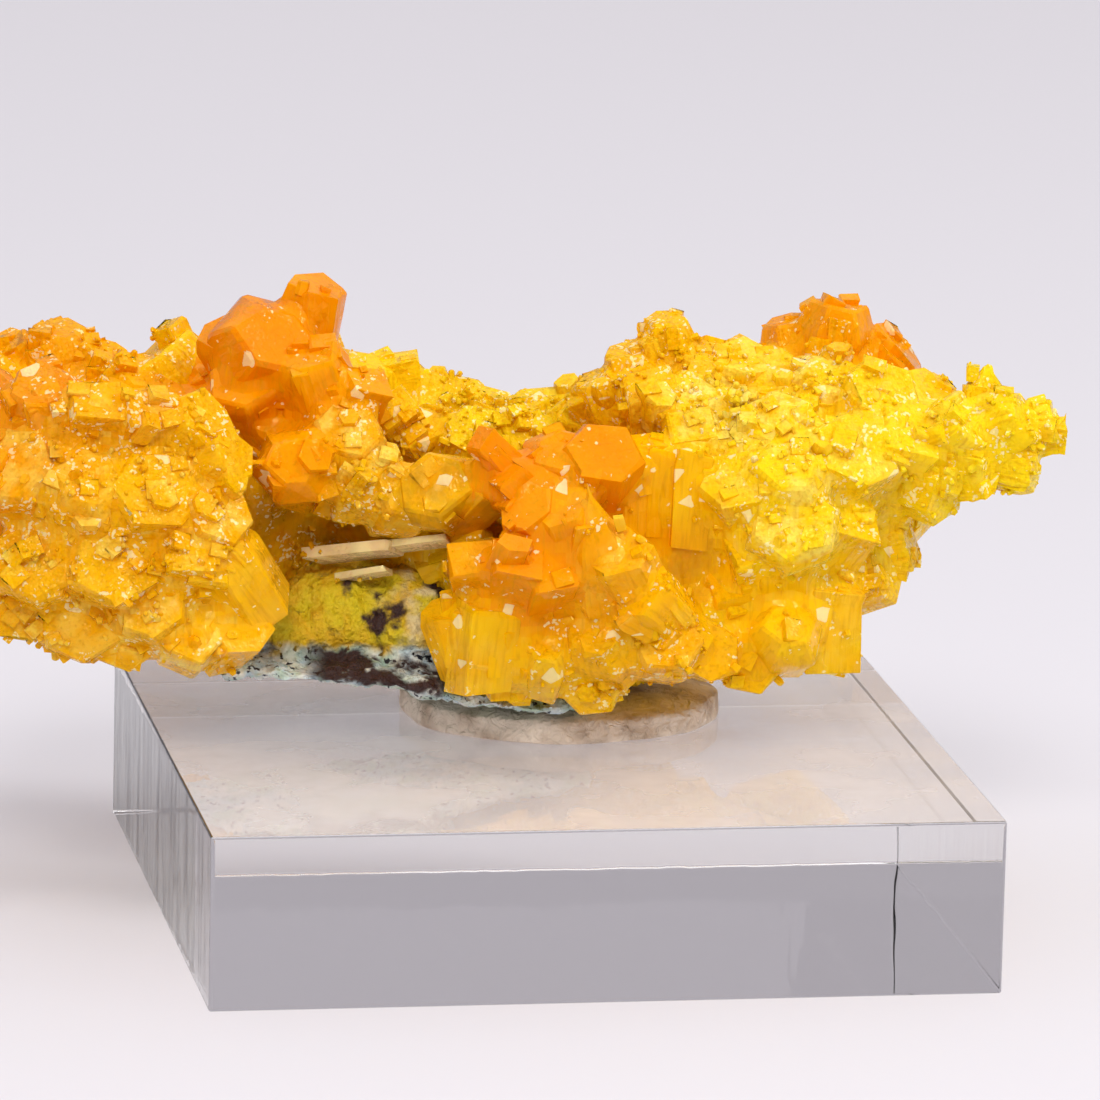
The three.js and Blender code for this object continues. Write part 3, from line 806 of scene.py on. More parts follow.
@dataclass(frozen=True)
class Patches:
    """Soft patches, which the mottle group makes.

    Attributes:
        size: in millimetres.
        level: the noise at a patch's edge, larger for fewer patches.
        blur: how soft that edge is.
        detail: layers of finer and finer noise.
        colour: their colour, where they have one.
    """

    size: float
    level: float
    blur: float
    detail: float
    colour: Colour = (0, 0, 0)

    def mask(self, nodes: Nodes, where: Any) -> NodeSocket:
        """Where the patches lie, from 0 to 1."""
        shape = {"Size": self.size, "Level": self.level, "Blur": self.blur, "Detail": self.detail}
        return nodes.group(nodes.effects.mottle, Vector=where, **shape).outputs["Mask"]

    def paint(self, nodes: Nodes, where: Any, under: Any, share: Any = None) -> NodeSocket:
        """Lays the patches over a colour.

        Args:
            nodes: the material's nodes.
            where: the socket of the places, in millimetres.
            under: the colour, or its socket.
            share: the socket of how much of the patches there is, if not all.

        Returns:
            The new colour's socket.
        """
        mask = self.mask(nodes, where)
        if share is not None:
            mask = nodes.maths("MULTIPLY", mask, share)
        return nodes.mix(mask, under, self.colour)


@dataclass(frozen=True)
class SmallFaces:
    """Small tilted faces, which the facets group makes.

    Attributes:
        size: in millimetres.
        slope: of the steepest.
    """

    size: float
    slope: float

    def lay(self, nodes: Nodes, where: Any) -> Node:
        """The group's node, with the faces' height and a chance for each face."""
        return nodes.group(nodes.effects.facets, Vector=where, Size=self.size, Slope=self.slope)


# A blade is told from the other crystals by its veil, which is more than the limit.
BLADE_VEIL = 1
BLADE_LIMIT = 0.99


@dataclass(frozen=True)
class MimetiteFinish:
    """Translucent crystal, from lemon to deep orange, with fibres, milky veils and sugary grain, glints
    painted into its colour, and dark olive brown that is partly painted shade.

    Attributes:
        hues: the colours from the coolest to the warmest, each (warmth, colour).
        drift: how much the warmth wanders from place to place.
        milk: the veils' patches.
        veiled: the veil at which milk begins to show, and that at which it would be whole.
        pearl: the colour of the blades, and how much of them it covers.
        olive_and_shade_patches: the patches of dark olive brown, the crystals' own colour on the olive
            crystal and painted shade in the hollow and under overhangs.
        murky: how much of that dark olive brown there is between them, and what a patch adds.
        broad: the small faces on every crystal.
        sugar: the finer faces on the grainy parts.
        grainy: the noise and grain at which those begin and are whole.
        fibre: the fibres' scale, twice across the crystal and once along it, per millimetre.
        fibre_height: in millimetres.
        fibred: the noise at which their colour begins and is whole.
        shade: the colour of the fibres, and how much of what is under them they hide.
        painted_glint: the pale colour painted on small faces as a glint, standing in for light they catch,
            and how much of them it covers.
        glint_clumps: the patches in which many of the finer faces get that painted glint.
        rare: the share of the finer faces that get it elsewhere, and what a clump adds.
        windows: the share of the broad faces that get it, as larger painted highlights.
        rough: the roughness of the smooth parts, and what grain adds.
        shine: the strength of reflections.
        tint: their tint.
        glow: the share of the light that spreads inside.
        depth: how far it spreads, in millimetres.
        spread: how far red, green and blue light spread, as shares of that.
    """

    hues: tuple[tuple[float, Colour], ...] = (
        (0, (0.96, 0.66, 0.006)),
        (0.35, (0.90, 0.46, 0.001)),
        (0.7, (0.85, 0.30, 0.0005)),
        (1, (0.81, 0.205, 0.0003)),
    )
    drift: float = 0.44
    milk: Patches = Patches(1.5, 0.52, 0.12, 5, (0.96, 0.76, 0.13))
    veiled: Pair = (0.2, 1.1)
    pearl: tuple[Colour, float] = ((0.98, 0.82, 0.50), 0.68)
    olive_and_shade_patches: Patches = Patches(1.3, 0.5, 0.12, 4, (0.22, 0.13, 0.006))
    murky: Pair = (0.25, 0.75)
    broad: SmallFaces = SmallFaces(0.75, 0.16)
    sugar: SmallFaces = SmallFaces(0.17, 0.6)
    grainy: Pair = (0.56, 0.76)
    fibre: Place = (3.6, 3.6, 0.3)
    fibre_height: float = 0.07
    fibred: Pair = (0.48, 0.72)
    shade: tuple[Colour, float] = ((0.60, 0.25, 0.001), 0.4)
    painted_glint: tuple[Colour, float] = ((1.0, 0.90, 0.50), 0.6)
    glint_clumps: Patches = Patches(1.1, 0.58, 0.06, 2)
    rare: Pair = (0.002, 0.3)
    windows: float = 0.013
    rough: Pair = (0.07, 0.06)
    shine: float = 0.22
    tint: Colour = (1.0, 0.87, 0.34)
    glow: float = 0.2
    depth: float = 1.0
    spread: Colour = (1.0, 0.5, 0.05)

    def build(self, effects: SharedEffects) -> Material:
        """Makes the material.

        Args:
            effects: the shared node groups.

        Returns:
            The material, which reads the attributes that write_look writes.
        """
        material, nodes, result = new_material("mimetite", effects)
        warmth, veil, olive_and_shade, grain = (
            nodes.add("Attribute", attribute_name=name).outputs["Fac"] for name in LOOKS
        )
        own = nodes.add("Attribute", attribute_name=OWN).outputs["Vector"]
        broad, sugar = self.broad.lay(nodes, own), self.sugar.lay(nodes, own)
        patchy = nodes.maths("MULTIPLY_ADD", grain, 0.6, nodes.cloud(own, 0.6, 2))
        grains = nodes.ramp(patchy, *self.grainy)
        fibres = nodes.cloud(nodes.stretch(own, self.fibre), 1, 2)
        height = nodes.maths("MULTIPLY_ADD", sugar.outputs["Height"], grains, broad.outputs["Height"])
        height = nodes.maths("MULTIPLY_ADD", fibres, self.fibre_height, height)

        clear = nodes.maths("LESS_THAN", veil, BLADE_LIMIT)
        coloured = self._colour(nodes, own, warmth, veil, olive_and_shade)
        shade, share = self.shade
        shaded = nodes.maths("MULTIPLY", clear, share)
        shaded = nodes.maths("MULTIPLY", nodes.ramp(fibres, *self.fibred), shaded)
        coloured = nodes.mix(shaded, coloured, shade)
        # Painted highlights: a pale glint colour mixed into the colour of small faces chosen by chance.
        painted_glint, share = self.painted_glint
        glint_clumps = nodes.maths("MULTIPLY", grains, self.glint_clumps.mask(nodes, own))
        painted_glint_mask = nodes.maths("MULTIPLY", self._painted_glints(nodes, broad, sugar, glint_clumps), clear)
        coloured = nodes.mix(nodes.maths("MULTIPLY", painted_glint_mask, share), coloured, painted_glint)

        smooth, added = self.rough
        surface = nodes.add(
            "BsdfPrincipled",
            subsurface_method="RANDOM_WALK",
            Base_Color=coloured,
            Roughness=nodes.maths("MULTIPLY_ADD", grains, added, smooth),
            IOR=1.5,
            Normal=nodes.bump(height),
        )
        surface.inputs["Specular IOR Level"].default_value = self.shine
        surface.inputs["Specular Tint"].default_value = (*self.tint, 1)
        surface.inputs["Subsurface Weight"].default_value = self.glow
        surface.inputs["Subsurface Radius"].default_value = self.spread
        surface.inputs["Subsurface Scale"].default_value = self.depth * MM
        nodes.feed(result, "Surface", surface.outputs[0])
        return material

    def _colour(self, nodes: Nodes, own: Any, warmth: Any, veil: Any, olive_and_shade: Any) -> NodeSocket:
        """Lays out the colour.

        Args:
            nodes: the material's nodes.
            own: the socket of the crystal's own millimetres.
            warmth: the socket of the place's warmth.
            veil: the socket of its veil.
            olive_and_shade: the socket of its dark olive brown, partly painted shade.

        Returns:
            The colour's socket.
        """
        where = nodes.millimetres()
        drift = nodes.cloud(where, 0.35, 3)
        cooler = nodes.maths("SUBTRACT", warmth, self.drift / 2)
        warm = nodes.maths("MULTIPLY_ADD", drift, self.drift, cooler, clamp=True)
        ramp = nodes.add("ValToRGB", Fac=warm)
        stops = ramp.color_ramp.elements
        stops.remove(stops[1])
        stops[0].color = (*self.hues[0][1], 1)
        for at, colour in self.hues[1:]:
            stops.new(at).color = (*colour, 1)
        coloured = self.milk.paint(nodes, own, ramp.outputs[0], nodes.ramp(veil, *self.veiled))
        pearl, share = self.pearl
        blade = nodes.maths("GREATER_THAN", veil, BLADE_LIMIT)
        coloured = nodes.mix(nodes.maths("MULTIPLY", blade, share), coloured, pearl)
        # Partly painted shade: dark olive brown, the olive crystal's own colour, and painted shade in the
        # hollow and under the upright blocks.
        between_patches, added = self.murky
        murk = nodes.maths("MULTIPLY_ADD", self.olive_and_shade_patches.mask(nodes, where), added, between_patches)
        return nodes.mix(nodes.maths("MULTIPLY", murk, olive_and_shade), coloured, self.olive_and_shade_patches.colour)

    def _painted_glints(self, nodes: Nodes, broad: Any, sugar: Any, glint_clumps: Any) -> NodeSocket:
        """Finds the small faces that get a painted glint in place of the light they would catch.

        Args:
            nodes: the material's nodes.
            broad: the broad faces' node.
            sugar: the finer faces' node.
            glint_clumps: the socket of the patches where painted glints gather.

        Returns:
            The mask's socket.
        """
        elsewhere, added = self.rare
        limit = nodes.maths("ADD", nodes.maths("MULTIPLY", glint_clumps, -added), 1 - elsewhere)
        fine = nodes.maths("GREATER_THAN", sugar.outputs["Chance"], limit)
        window_glint = nodes.maths("GREATER_THAN", broad.outputs["Chance"], 1 - self.windows)
        return nodes.maths("MAXIMUM", fine, window_glint)


@dataclass(frozen=True)
class RockFinish:
    """White and pale blue-green crust over dark brown, with moss-yellow and black in the hollow.

    Attributes:
        chalk: the crust's lightest colour.
        crust: its blue and green patches and black specks.
        lime: the hollow's yellow-green.
        straw: its warmer yellow.
        cream: its lightest colour, and
        cream_from: where that begins and is whole, across.
        brown: the iron oxide, as stains in the hollow and as a layer.
        swing: how far the layers wander up and down, in millimetres.
        hollow_from: the heights at which the crust begins to give way to the hollow and has done so.
        seam: the brown layer's height at the middle, and how it changes with each millimetre across.
        seam_up: how far above that it begins and is whole, and how far above it ends and is still whole.
        seam_across: the same, across.
        broken: the small faces of its surface.
        grain_height: in millimetres.
        rough: the least roughness, and what grain adds.
        shine: the strength of reflections.
    """

    chalk: Colour = (0.92, 0.90, 0.78)
    crust: tuple[Patches, ...] = (
        Patches(1.4, 0.5, 0.16, 5, (0.54, 0.70, 0.76)),
        Patches(2.2, 0.55, 0.12, 4, (0.40, 0.58, 0.40)),
        Patches(0.42, 0.62, 0.04, 2, (0.010, 0.012, 0.020)),
    )
    lime: Colour = (0.80, 0.62, 0.010)
    straw: Patches = Patches(2.2, 0.5, 0.14, 6, (0.82, 0.46, 0.010))
    cream: Patches = Patches(1.4, 0.56, 0.1, 6, (0.86, 0.70, 0.34))
    cream_from: Pair = (-11, -7)
    brown: Patches = Patches(1.7, 0.6, 0.07, 8, (0.050, 0.022, 0.018))
    swing: float = 2.4
    hollow_from: Pair = (15.2, 16.0)
    seam: Pair = (13.2, -0.16)
    seam_up: tuple[Pair, Pair] = ((-0.9, -0.5), (0.5, 0.1))
    seam_across: tuple[Pair, Pair] = ((-15, -12.5), (-4.5, -6.5))
    broken: SmallFaces = SmallFaces(0.5, 0.6)
    grain_height: float = 0.35
    rough: Pair = (0.35, 0.3)
    shine: float = 0.35

    def build(self, effects: SharedEffects, sight: SightLine) -> Material:
        """Makes the material.

        Args:
            effects: the shared node groups.
            sight: the line of sight, for the specimen's turn.

        Returns:
            The material.
        """
        material, nodes, result = new_material("matrix_rock", effects)
        where = nodes.millimetres(sight.turn)
        axes = nodes.add("SeparateXYZ", Vector=where)
        across, height = axes.outputs[0], axes.outputs[2]
        lower = nodes.maths("SUBTRACT", height, self.swing / 2)
        uneven = nodes.maths("MULTIPLY_ADD", nodes.cloud(where, 0.6, 5), self.swing, lower)

        crust = self.chalk
        for patches in self.crust:
            crust = patches.paint(nodes, where, crust)
        hollow = self.straw.paint(nodes, where, self.lime)
        hollow = self.cream.paint(nodes, where, hollow, nodes.ramp(across, *self.cream_from))
        hollow = self.brown.paint(nodes, where, hollow)
        level, slope = self.seam
        above = nodes.maths("SUBTRACT", uneven, nodes.maths("MULTIPLY_ADD", across, slope, level))
        layer, stretch = nodes.span(above, *self.seam_up), nodes.span(across, *self.seam_across)
        coloured = nodes.mix(nodes.ramp(uneven, *self.hollow_from), crust, hollow)
        coloured = nodes.mix(nodes.maths("MULTIPLY", layer, stretch), coloured, self.brown.colour)

        grain = nodes.cloud(where, 3.2, 8)
        broken = self.broken.lay(nodes, where).outputs["Height"]
        least, added = self.rough
        surface = nodes.add(
            "BsdfPrincipled",
            Base_Color=coloured,
            Roughness=nodes.maths("MULTIPLY_ADD", grain, added, least),
            Normal=nodes.bump(nodes.maths("MULTIPLY_ADD", grain, self.grain_height, broken)),
        )
        surface.inputs["Specular IOR Level"].default_value = self.shine
        nodes.feed(result, "Surface", surface.outputs[0])
        return material


@dataclass(frozen=True)
class PuttyFinish:
    """Soft greyish tan putty, dull, with darker stains and fine wrinkles.

    Attributes:
        pale: the clean putty.
        stain: where dust and rock have marked it.
        wrinkle: the wrinkles' height, in millimetres.
        rough: the least roughness, and what the wrinkles add.
    """

    pale: Colour = (0.94, 0.79, 0.62)
    stain: Patches = Patches(2.4, 0.56, 0.16, 6, (0.58, 0.43, 0.30))
    wrinkle: float = 0.7
    rough: Pair = (0.55, 0.25)

    def build(self, effects: SharedEffects) -> Material:
        """Makes the material.

        Args:
            effects: the shared node groups.

        Returns:
            The material.
        """
        material, nodes, result = new_material("mineral_putty", effects)
        where = nodes.millimetres()
        wrinkles = nodes.cloud(where, 1.4, 7, Distortion=1.2)
        bump = nodes.add("Bump", Strength=0.9, Distance=self.wrinkle * MM, Height=wrinkles)
        least, added = self.rough
        surface = nodes.add(
            "BsdfPrincipled",
            Base_Color=self.stain.paint(nodes, where, self.pale),
            Roughness=nodes.maths("MULTIPLY_ADD", wrinkles, added, least),
            Normal=bump.outputs[0],
        )
        nodes.feed(result, "Surface", surface.outputs[0])
        return material


@dataclass(frozen=True)
class AcrylicFinish:
    """Clear acrylic, polished above and below, with wavy sides, smudges and, on top, a warm film that is
    dust and in part a painted reflection of the yellow specimen.

    Attributes:
        body: the faint colour of the clear sheet.
        dust_and_reflection: the patches in which the film is thick, and its warm colour, partly dust and
            partly the specimen's painted reflection.
        film: how much of the top it hides there.
        thick: how thick it is between them, as a share of that, and what they add.
        upward: how far up a face looks where the film begins and is whole, as a sine.
        smudges: the patches of fingermarks.
        smudge_rough: their roughness.
        wave: the height of the waves on the sides, in millimetres.
        wave_scale: the waves' scale, twice along the level and once up, per millimetre.
        sideways: how far up or down a face looks where the waves begin and are whole, as a sine.
    """

    body: Colour = (0.985, 0.98, 0.98)
    dust_and_reflection: Patches = Patches(9, 0.45, 0.25, 7, (0.92, 0.81, 0.70))
    film: float = 0.34
    thick: Pair = (0.3, 0.7)
    upward: Pair = (0.9, 0.98)
    smudges: Patches = Patches(6, 0.58, 0.2, 5)
    smudge_rough: float = 0.05
    wave: float = 0.025
    wave_scale: Place = (0.55, 0.55, 0.12)
    sideways: Pair = (0.6, 0.3)

    def build(self, effects: SharedEffects) -> Material:
        """Makes the material.

        Args:
            effects: the shared node groups.

        Returns:
            The material, which lets lamps and soft light straight through, so that the block throws a
            pale shadow and the floor lights what stands on it.
        """
        material, nodes, result = new_material("clear_acrylic", effects)
        where = nodes.millimetres()
        face = nodes.add("NewGeometry").outputs
        upright = nodes.add("SeparateXYZ", Vector=face["Normal"]).outputs[2]
        waves = nodes.cloud(nodes.stretch(where, self.wave_scale), 1, 2)
        side = nodes.ramp(nodes.maths("ABSOLUTE", upright), *self.sideways)
        height = nodes.maths("MULTIPLY", waves, nodes.maths("MULTIPLY", side, self.wave))
        surface = nodes.add(
            "BsdfPrincipled",
            Base_Color=self.body,
            Roughness=nodes.maths("MULTIPLY", self.smudges.mask(nodes, where), self.smudge_rough),
            IOR=1.49,
            Normal=nodes.bump(height),
        )
        surface.inputs["Transmission Weight"].default_value = 1.0
        # The warm film: dust, and in part a painted reflection of the yellow specimen in the top.
        warm_film = nodes.add("BsdfDiffuse", Color=self.dust_and_reflection.colour)
        thin, added = self.thick
        thickness = nodes.maths("MULTIPLY_ADD", self.dust_and_reflection.mask(nodes, where), added, thin)
        top = nodes.maths("MULTIPLY", nodes.ramp(upright, *self.upward), self.film)
        outside = nodes.maths("SUBTRACT", 1.0, face["Backfacing"])
        share = nodes.maths("MULTIPLY", thickness, nodes.maths("MULTIPLY", top, outside))
        filmed = nodes.add("MixShader", in0=share, in1=surface.outputs[0], in2=warm_film.outputs[0])
        clear = nodes.add("BsdfTransparent", Color=self.body)
        ray = nodes.add("LightPath").outputs
        soft = nodes.maths("MAXIMUM", ray["Is Shadow Ray"], ray["Is Diffuse Ray"])
        both = nodes.add("MixShader", in0=soft, in1=filmed.outputs[0], in2=clear.outputs[0])
        nodes.feed(result, "Surface", both.outputs[0])
        return material


@dataclass(frozen=True)
class Zone:
    """A patch of the specimen that has its own look.

    Attributes:
        place: its middle as (right, up, back) of the line of sight.
        reach: how far it extends, in millimetres.
        warmth: from 0, lemon, to 1, deep orange.
        veil: from 0, clear, to 1, milky.
        olive_and_shade: from 0, none, to 1, dark olive brown: the olive crystal's own colour, and painted
            shade in the hollow and under the upright blocks.
        grain: from 0, smooth, to 1, covered in small crystals.
    """

    place: Place
    reach: float
    warmth: float
    veil: float = 0.3
    olive_and_shade: float = 0
    grain: float = 0.2


LOOKS = ("warmth", "veil", "olive_and_shade", "grain")
OWN = "own"
ZONES: tuple[Zone, ...] = (
    Zone((-26, 2, -9), 6.0, 0.50, 0.55, 0, 0.60),
    Zone((-30, 7.5, -7), 3.6, 0.88, 0.2, 0, 0.30),
    Zone((-33, 2, -5), 3.4, 0.75, 0.3, 0, 0.4),
    Zone((-28, 12, 4), 3.6, 0.58, 0.1, 0, 0.6),
    Zone((-22, 9.5, 5), 3.0, 0.22, 0.2, 0, 0.5),
    Zone((-24, -4.5, -8), 4.0, 0.42, 0.6, 0, 0.3),
    Zone((-17.8, -2.5, -8), 2.6, 0.36, 0.4, 0, 0.1),
    Zone((-16.5, 11.3, -1), 4.6, 0.88, 0.05, 0, 0.02),
    Zone((-12.6, 9.5, -3), 3.0, 0.74, 0.15, 0, 0.05),
    Zone((-14.6, 4.7, -6.5), 2.7, 0.76, 0.1, 0, 0.0),
    Zone((-10.5, 4.5, -5), 2.6, 0.40, 0.7, 0.05, 0.95),
    Zone((-9.6, 9.6, 5), 2.6, 0.10, 0.1, 0, 0.3),
    Zone((-3, 7, 3.5), 4.4, 0.14, 0.3, 0.2, 0.8),
    # The olive crystal's own dark colour.
    Zone((-6.2, 3.3, -6.2), 2.6, 0.50, 0.3, 0.45, 0.0),
    # Painted shade in the dark hollow.
    Zone((-14.0, 0.5, -1), 4.0, 0.50, 0.3, 0.4, 0.5),
    Zone((-9.5, -0.6, -4), 2.0, 0.30, 1.0, 0.0, 0.0),
    Zone((-2.0, 4.0, -8.2), 2.4, 1.0, 0.0, 0, 0.0),
    Zone((-0.8, -1.4, -9.2), 3.2, 0.95, 0.1, 0, 0.0),
    Zone((2.2, 4.8, -6.6), 2.6, 0.84, 0.1, 0, 0.05),
    Zone((3.0, -1.0, -9), 3.2, 0.55, 0.4, 0, 0.12),
    Zone((-3.8, -5.4, -8), 2.8, 0.34, 0.35, 0, 0.05),
    Zone((5.0, -5.5, -6.6), 4.0, 0.44, 0.35, 0, 0.4),
    Zone((12.5, -4.6, -4.4), 4.0, 0.36, 0.2, 0, 0.05),
    Zone((6.8, 3.4, -5.6), 2.8, 0.44, 0.1, 0, 0.0),
    # Painted shade under the row of upright blocks.
    Zone((7.2, -0.4, -5.4), 2.2, 0.40, 0.1, 0.4, 0.1),
    Zone((13.2, 2.6, -5.4), 3.6, 0.10, 0.6, 0, 0.35),
    Zone((10.0, 6.6, -3.0), 3.2, 0.16, 0.9, 0, 0.9),
    Zone((5.6, 9.6, 1), 3.2, 0.40, 0.3, 0, 0.8),
    Zone((16, 12, 5), 4.2, 0.74, 0.05, 0, 0.1),
    Zone((20, 10.6, 6), 2.6, 0.74, 0.05, 0, 0.1),
    Zone((14.5, 8.6, 1), 3.4, 0.14, 0.7, 0, 0.8),
    Zone((20, 5.5, -2), 5.0, 0.06, 0.45, 0, 0.4),
    Zone((26, 6.6, -0.5), 4.0, 0.04, 0.3, 0, 0.6),
    Zone((17.5, -0.6, 0), 3.4, 0.24, 0.5, 0, 0.6),
)
GRAIN = LOOKS.index("grain")


@dataclass
class ZoneMap:
    """The look of the specimen from place to place.

    Attributes:
        sight: the line of sight that the zones' places are given along.
        fade: how steeply a zone fades at its reach.
        rest: the look far from every zone, but for its warmth.
        rest_weight: how much that counts beside the zones.
        rest_across: two distances across, between which that warmth changes.
        rest_warmth: the warmth at the first and at the second.
        spread: turns a place into the number that its own chances depend on.
        warmth_stray: how much the warmth differs from one crystal to the next.
        veil_share: the least share of its zone's veil that a crystal has, and what chance adds.
        limit: the most of anything but a blade's veil.
    """

    sight: SightLine
    fade: float = 1.4
    rest: tuple[float, ...] = (0.0, 0.3, 0.0, 0.3)
    rest_weight: float = 0.12
    rest_across: Pair = (-20, 10)
    rest_warmth: Pair = (0.42, 0.16)
    spread: Place = (3.1, 5.7, 7.3)
    warmth_stray: float = 0.12
    veil_share: Pair = (0.6, 0.8)
    limit: float = 0.98

    def __post_init__(self) -> None:
        """Places the zones."""
        self.places = np.array([self.sight.place(*zone.place) for zone in ZONES])
        self.reach = np.array([zone.reach for zone in ZONES])
        self.looks = np.array([(zone.warmth, zone.veil, zone.olive_and_shade, zone.grain) for zone in ZONES])

    def look(self, where: np.ndarray) -> np.ndarray:
        """The look at many places.

        Args:
            where: the places in the specimen's frame, in millimetres.

        Returns:
            A row of warmth, veil, gloom and grain for each place.
        """
        apart = np.linalg.norm(where[:, None, :] - self.places[None], axis=2)
        weights = np.exp(-((apart / self.reach) ** 2) * self.fade)
        rest = np.tile(self.rest, (len(where), 1))
        rest[:, 0] = np.interp(where[:, 0], self.rest_across, self.rest_warmth)
        total = (weights.sum(axis=1) + self.rest_weight)[:, None]
        looks = (weights @ self.looks + rest * self.rest_weight) / total
        own = where @ self.spread
        least, added = self.veil_share
        looks[:, 0] += self.warmth_stray * (chances(own, Use.WARMTH) - 0.5)
        looks[:, 1] *= least + added * chances(own, Use.VEIL)
        return np.clip(looks, 0, self.limit)


def corner_places(mesh: Mesh) -> np.ndarray:
    """Where each corner of each of a mesh's faces is."""
    points = np.array([vertex.co for vertex in mesh.vertices])
    return points[[loop.vertex_index for loop in mesh.loops]]


@dataclass(frozen=True)
class Pattern:
    """A unit crystal.

    Attributes:
        mesh: its mesh.
        corners: where each corner of each of its faces is.
    """

    mesh: Mesh
    corners: np.ndarray

    @classmethod
    def of(cls, mesh: Mesh) -> "Pattern":
        """The pattern that a mesh makes."""
        return cls(mesh, corner_places(mesh))


@dataclass(frozen=True)
class Grown:
    """A crystal in its place.

    Attributes:
        habit: its form.
        middle: the place of its middle in the specimen's frame, in millimetres.
        turned: its rotation.
        size: half its width, half its thickness and its whole length.
    """

    habit: Habit
    middle: Vector
    turned: Matrix
    size: Vector

    @classmethod
    def tilted(cls, habit: Habit, middle: Vector, tilt: Place, radius: float, length: float) -> "Grown":
        """A crystal with the thickness that goes with its habit.

        Args:
            habit: its form.
            middle: its middle.
            tilt: its (lean, nod, turn) in degrees.
            radius: half its width.
            length: its whole length.

        Returns:
            The crystal.
        """
        lean, nod, turn = (math.radians(value) for value in tilt)
        turned = Matrix.Rotation(lean, 4, "Y") @ Matrix.Rotation(nod, 4, "X")
        turned = turned @ Matrix.Rotation(turn, 4, "Z")
        return cls(habit, middle, turned, Vector((radius, radius * SHAPES[habit].flat, length)))

    def mesh(self, pattern: Pattern, look: np.ndarray, n: int) -> Mesh:
        """Makes the crystal's mesh.

        Args:
            pattern: the unit crystal.
            look: its warmth, veil, gloom and grain.
            n: which crystal it is.

        Returns:
            The mesh, with the look on its faces and its own millimetres at its corners.
        """
        mesh = pattern.mesh.copy()
        own = pattern.corners * self.size + OWN_SHIFT * chances(np.arange(3), n)
        write_look(mesh, np.tile(look, (len(mesh.polygons), 1)), own)
        size = Matrix.Diagonal((*self.size, 1))
        mesh.transform(Matrix.Translation(self.middle) @ self.turned @ size)
        return mesh


def write_look(mesh: Mesh, looks: np.ndarray, own: np.ndarray) -> None:
    """Writes what the crystals' finish reads.

    Args:
        mesh: the mesh.
        looks: the warmth, veil, gloom and grain of each face.
        own: the crystal's own millimetres at each face's corners.
    """
    for column, name in enumerate(LOOKS):
        values = np.ascontiguousarray(looks[:, column], dtype=np.float32)
        mesh.attributes.new(name, "FLOAT", "FACE").data.foreach_set("value", values)
    values = np.ascontiguousarray(own, dtype=np.float32).ravel()
    mesh.attributes.new(OWN, "FLOAT_VECTOR", "CORNER").data.foreach_set("vector", values)


@dataclass
class CrystalPatterns:
    """Unit crystals of each habit, no two of which are quite alike.

    Attributes:
        variants: how many there are of each habit.
        stray: how far their corners stray, as a share of the radius.
        round_off: the width of the soft edges on the large ones.
        sharp: edges that turn by more degrees than this are softened.
        rich: the patterns with soft edges.
        plain: the patterns without.
    """

    variants: int = 3
    stray: float = 0.16
    round_off: float = 0.05
    sharp: float = 30
    rich: dict[Habit, list[Pattern]] = field(default_factory=dict)
    plain: dict[Habit, list[Pattern]] = field(default_factory=dict)

    def build(self) -> "CrystalPatterns":
        """Models the patterns."""
        soft = {"width": self.round_off, "segments": 1, "angle_limit": math.radians(self.sharp)}
        for habit in Habit:
            self.rich[habit], self.plain[habit] = [], []
            for variant in range(self.variants):
                self.plain[habit].append(Pattern.of(take_mesh(self._stack(habit, variant))))
                rich = self._stack(habit, variant)
                modify(rich, "BEVEL", limit_method="ANGLE", **soft)
                self.rich[habit].append(Pattern.of(take_mesh(rich)))
        return self

    def _stack(self, habit: Habit, variant: int) -> Object:
        """Draws a crystal up from its root outline, ring by ring, and lets its corners stray.

        Args:
            habit: the form.
            variant: which of the forms that are not quite alike.

        Returns:
            The closed crystal.
        """
        shape = SHAPES[habit]
        width, height = shape.rings[0]
        turned = (0, 0, math.pi / shape.sides)
        piece = start_outline("pattern", shape.sides, width, location=(0, 0, height), rotation=turned)
        with editing(piece):
            bpy.ops.mesh.select_all(action="SELECT")
            for next_width, next_height in shape.rings[1:]:
                rise = {"value": (0, 0, next_height - height)}
                bpy.ops.mesh.extrude_region_move(TRANSFORM_OT_translate=rise)
                grow = next_width / width
                bpy.ops.transform.resize(value=(grow, grow, 1), center_override=(0, 0, next_height))
                width, height = next_width, next_height
            bpy.ops.mesh.select_all(action="SELECT")
            bpy.ops.mesh.normals_make_consistent(inside=False)
            bpy.ops.transform.vertex_random(offset=self.stray, seed=variant)
        return piece


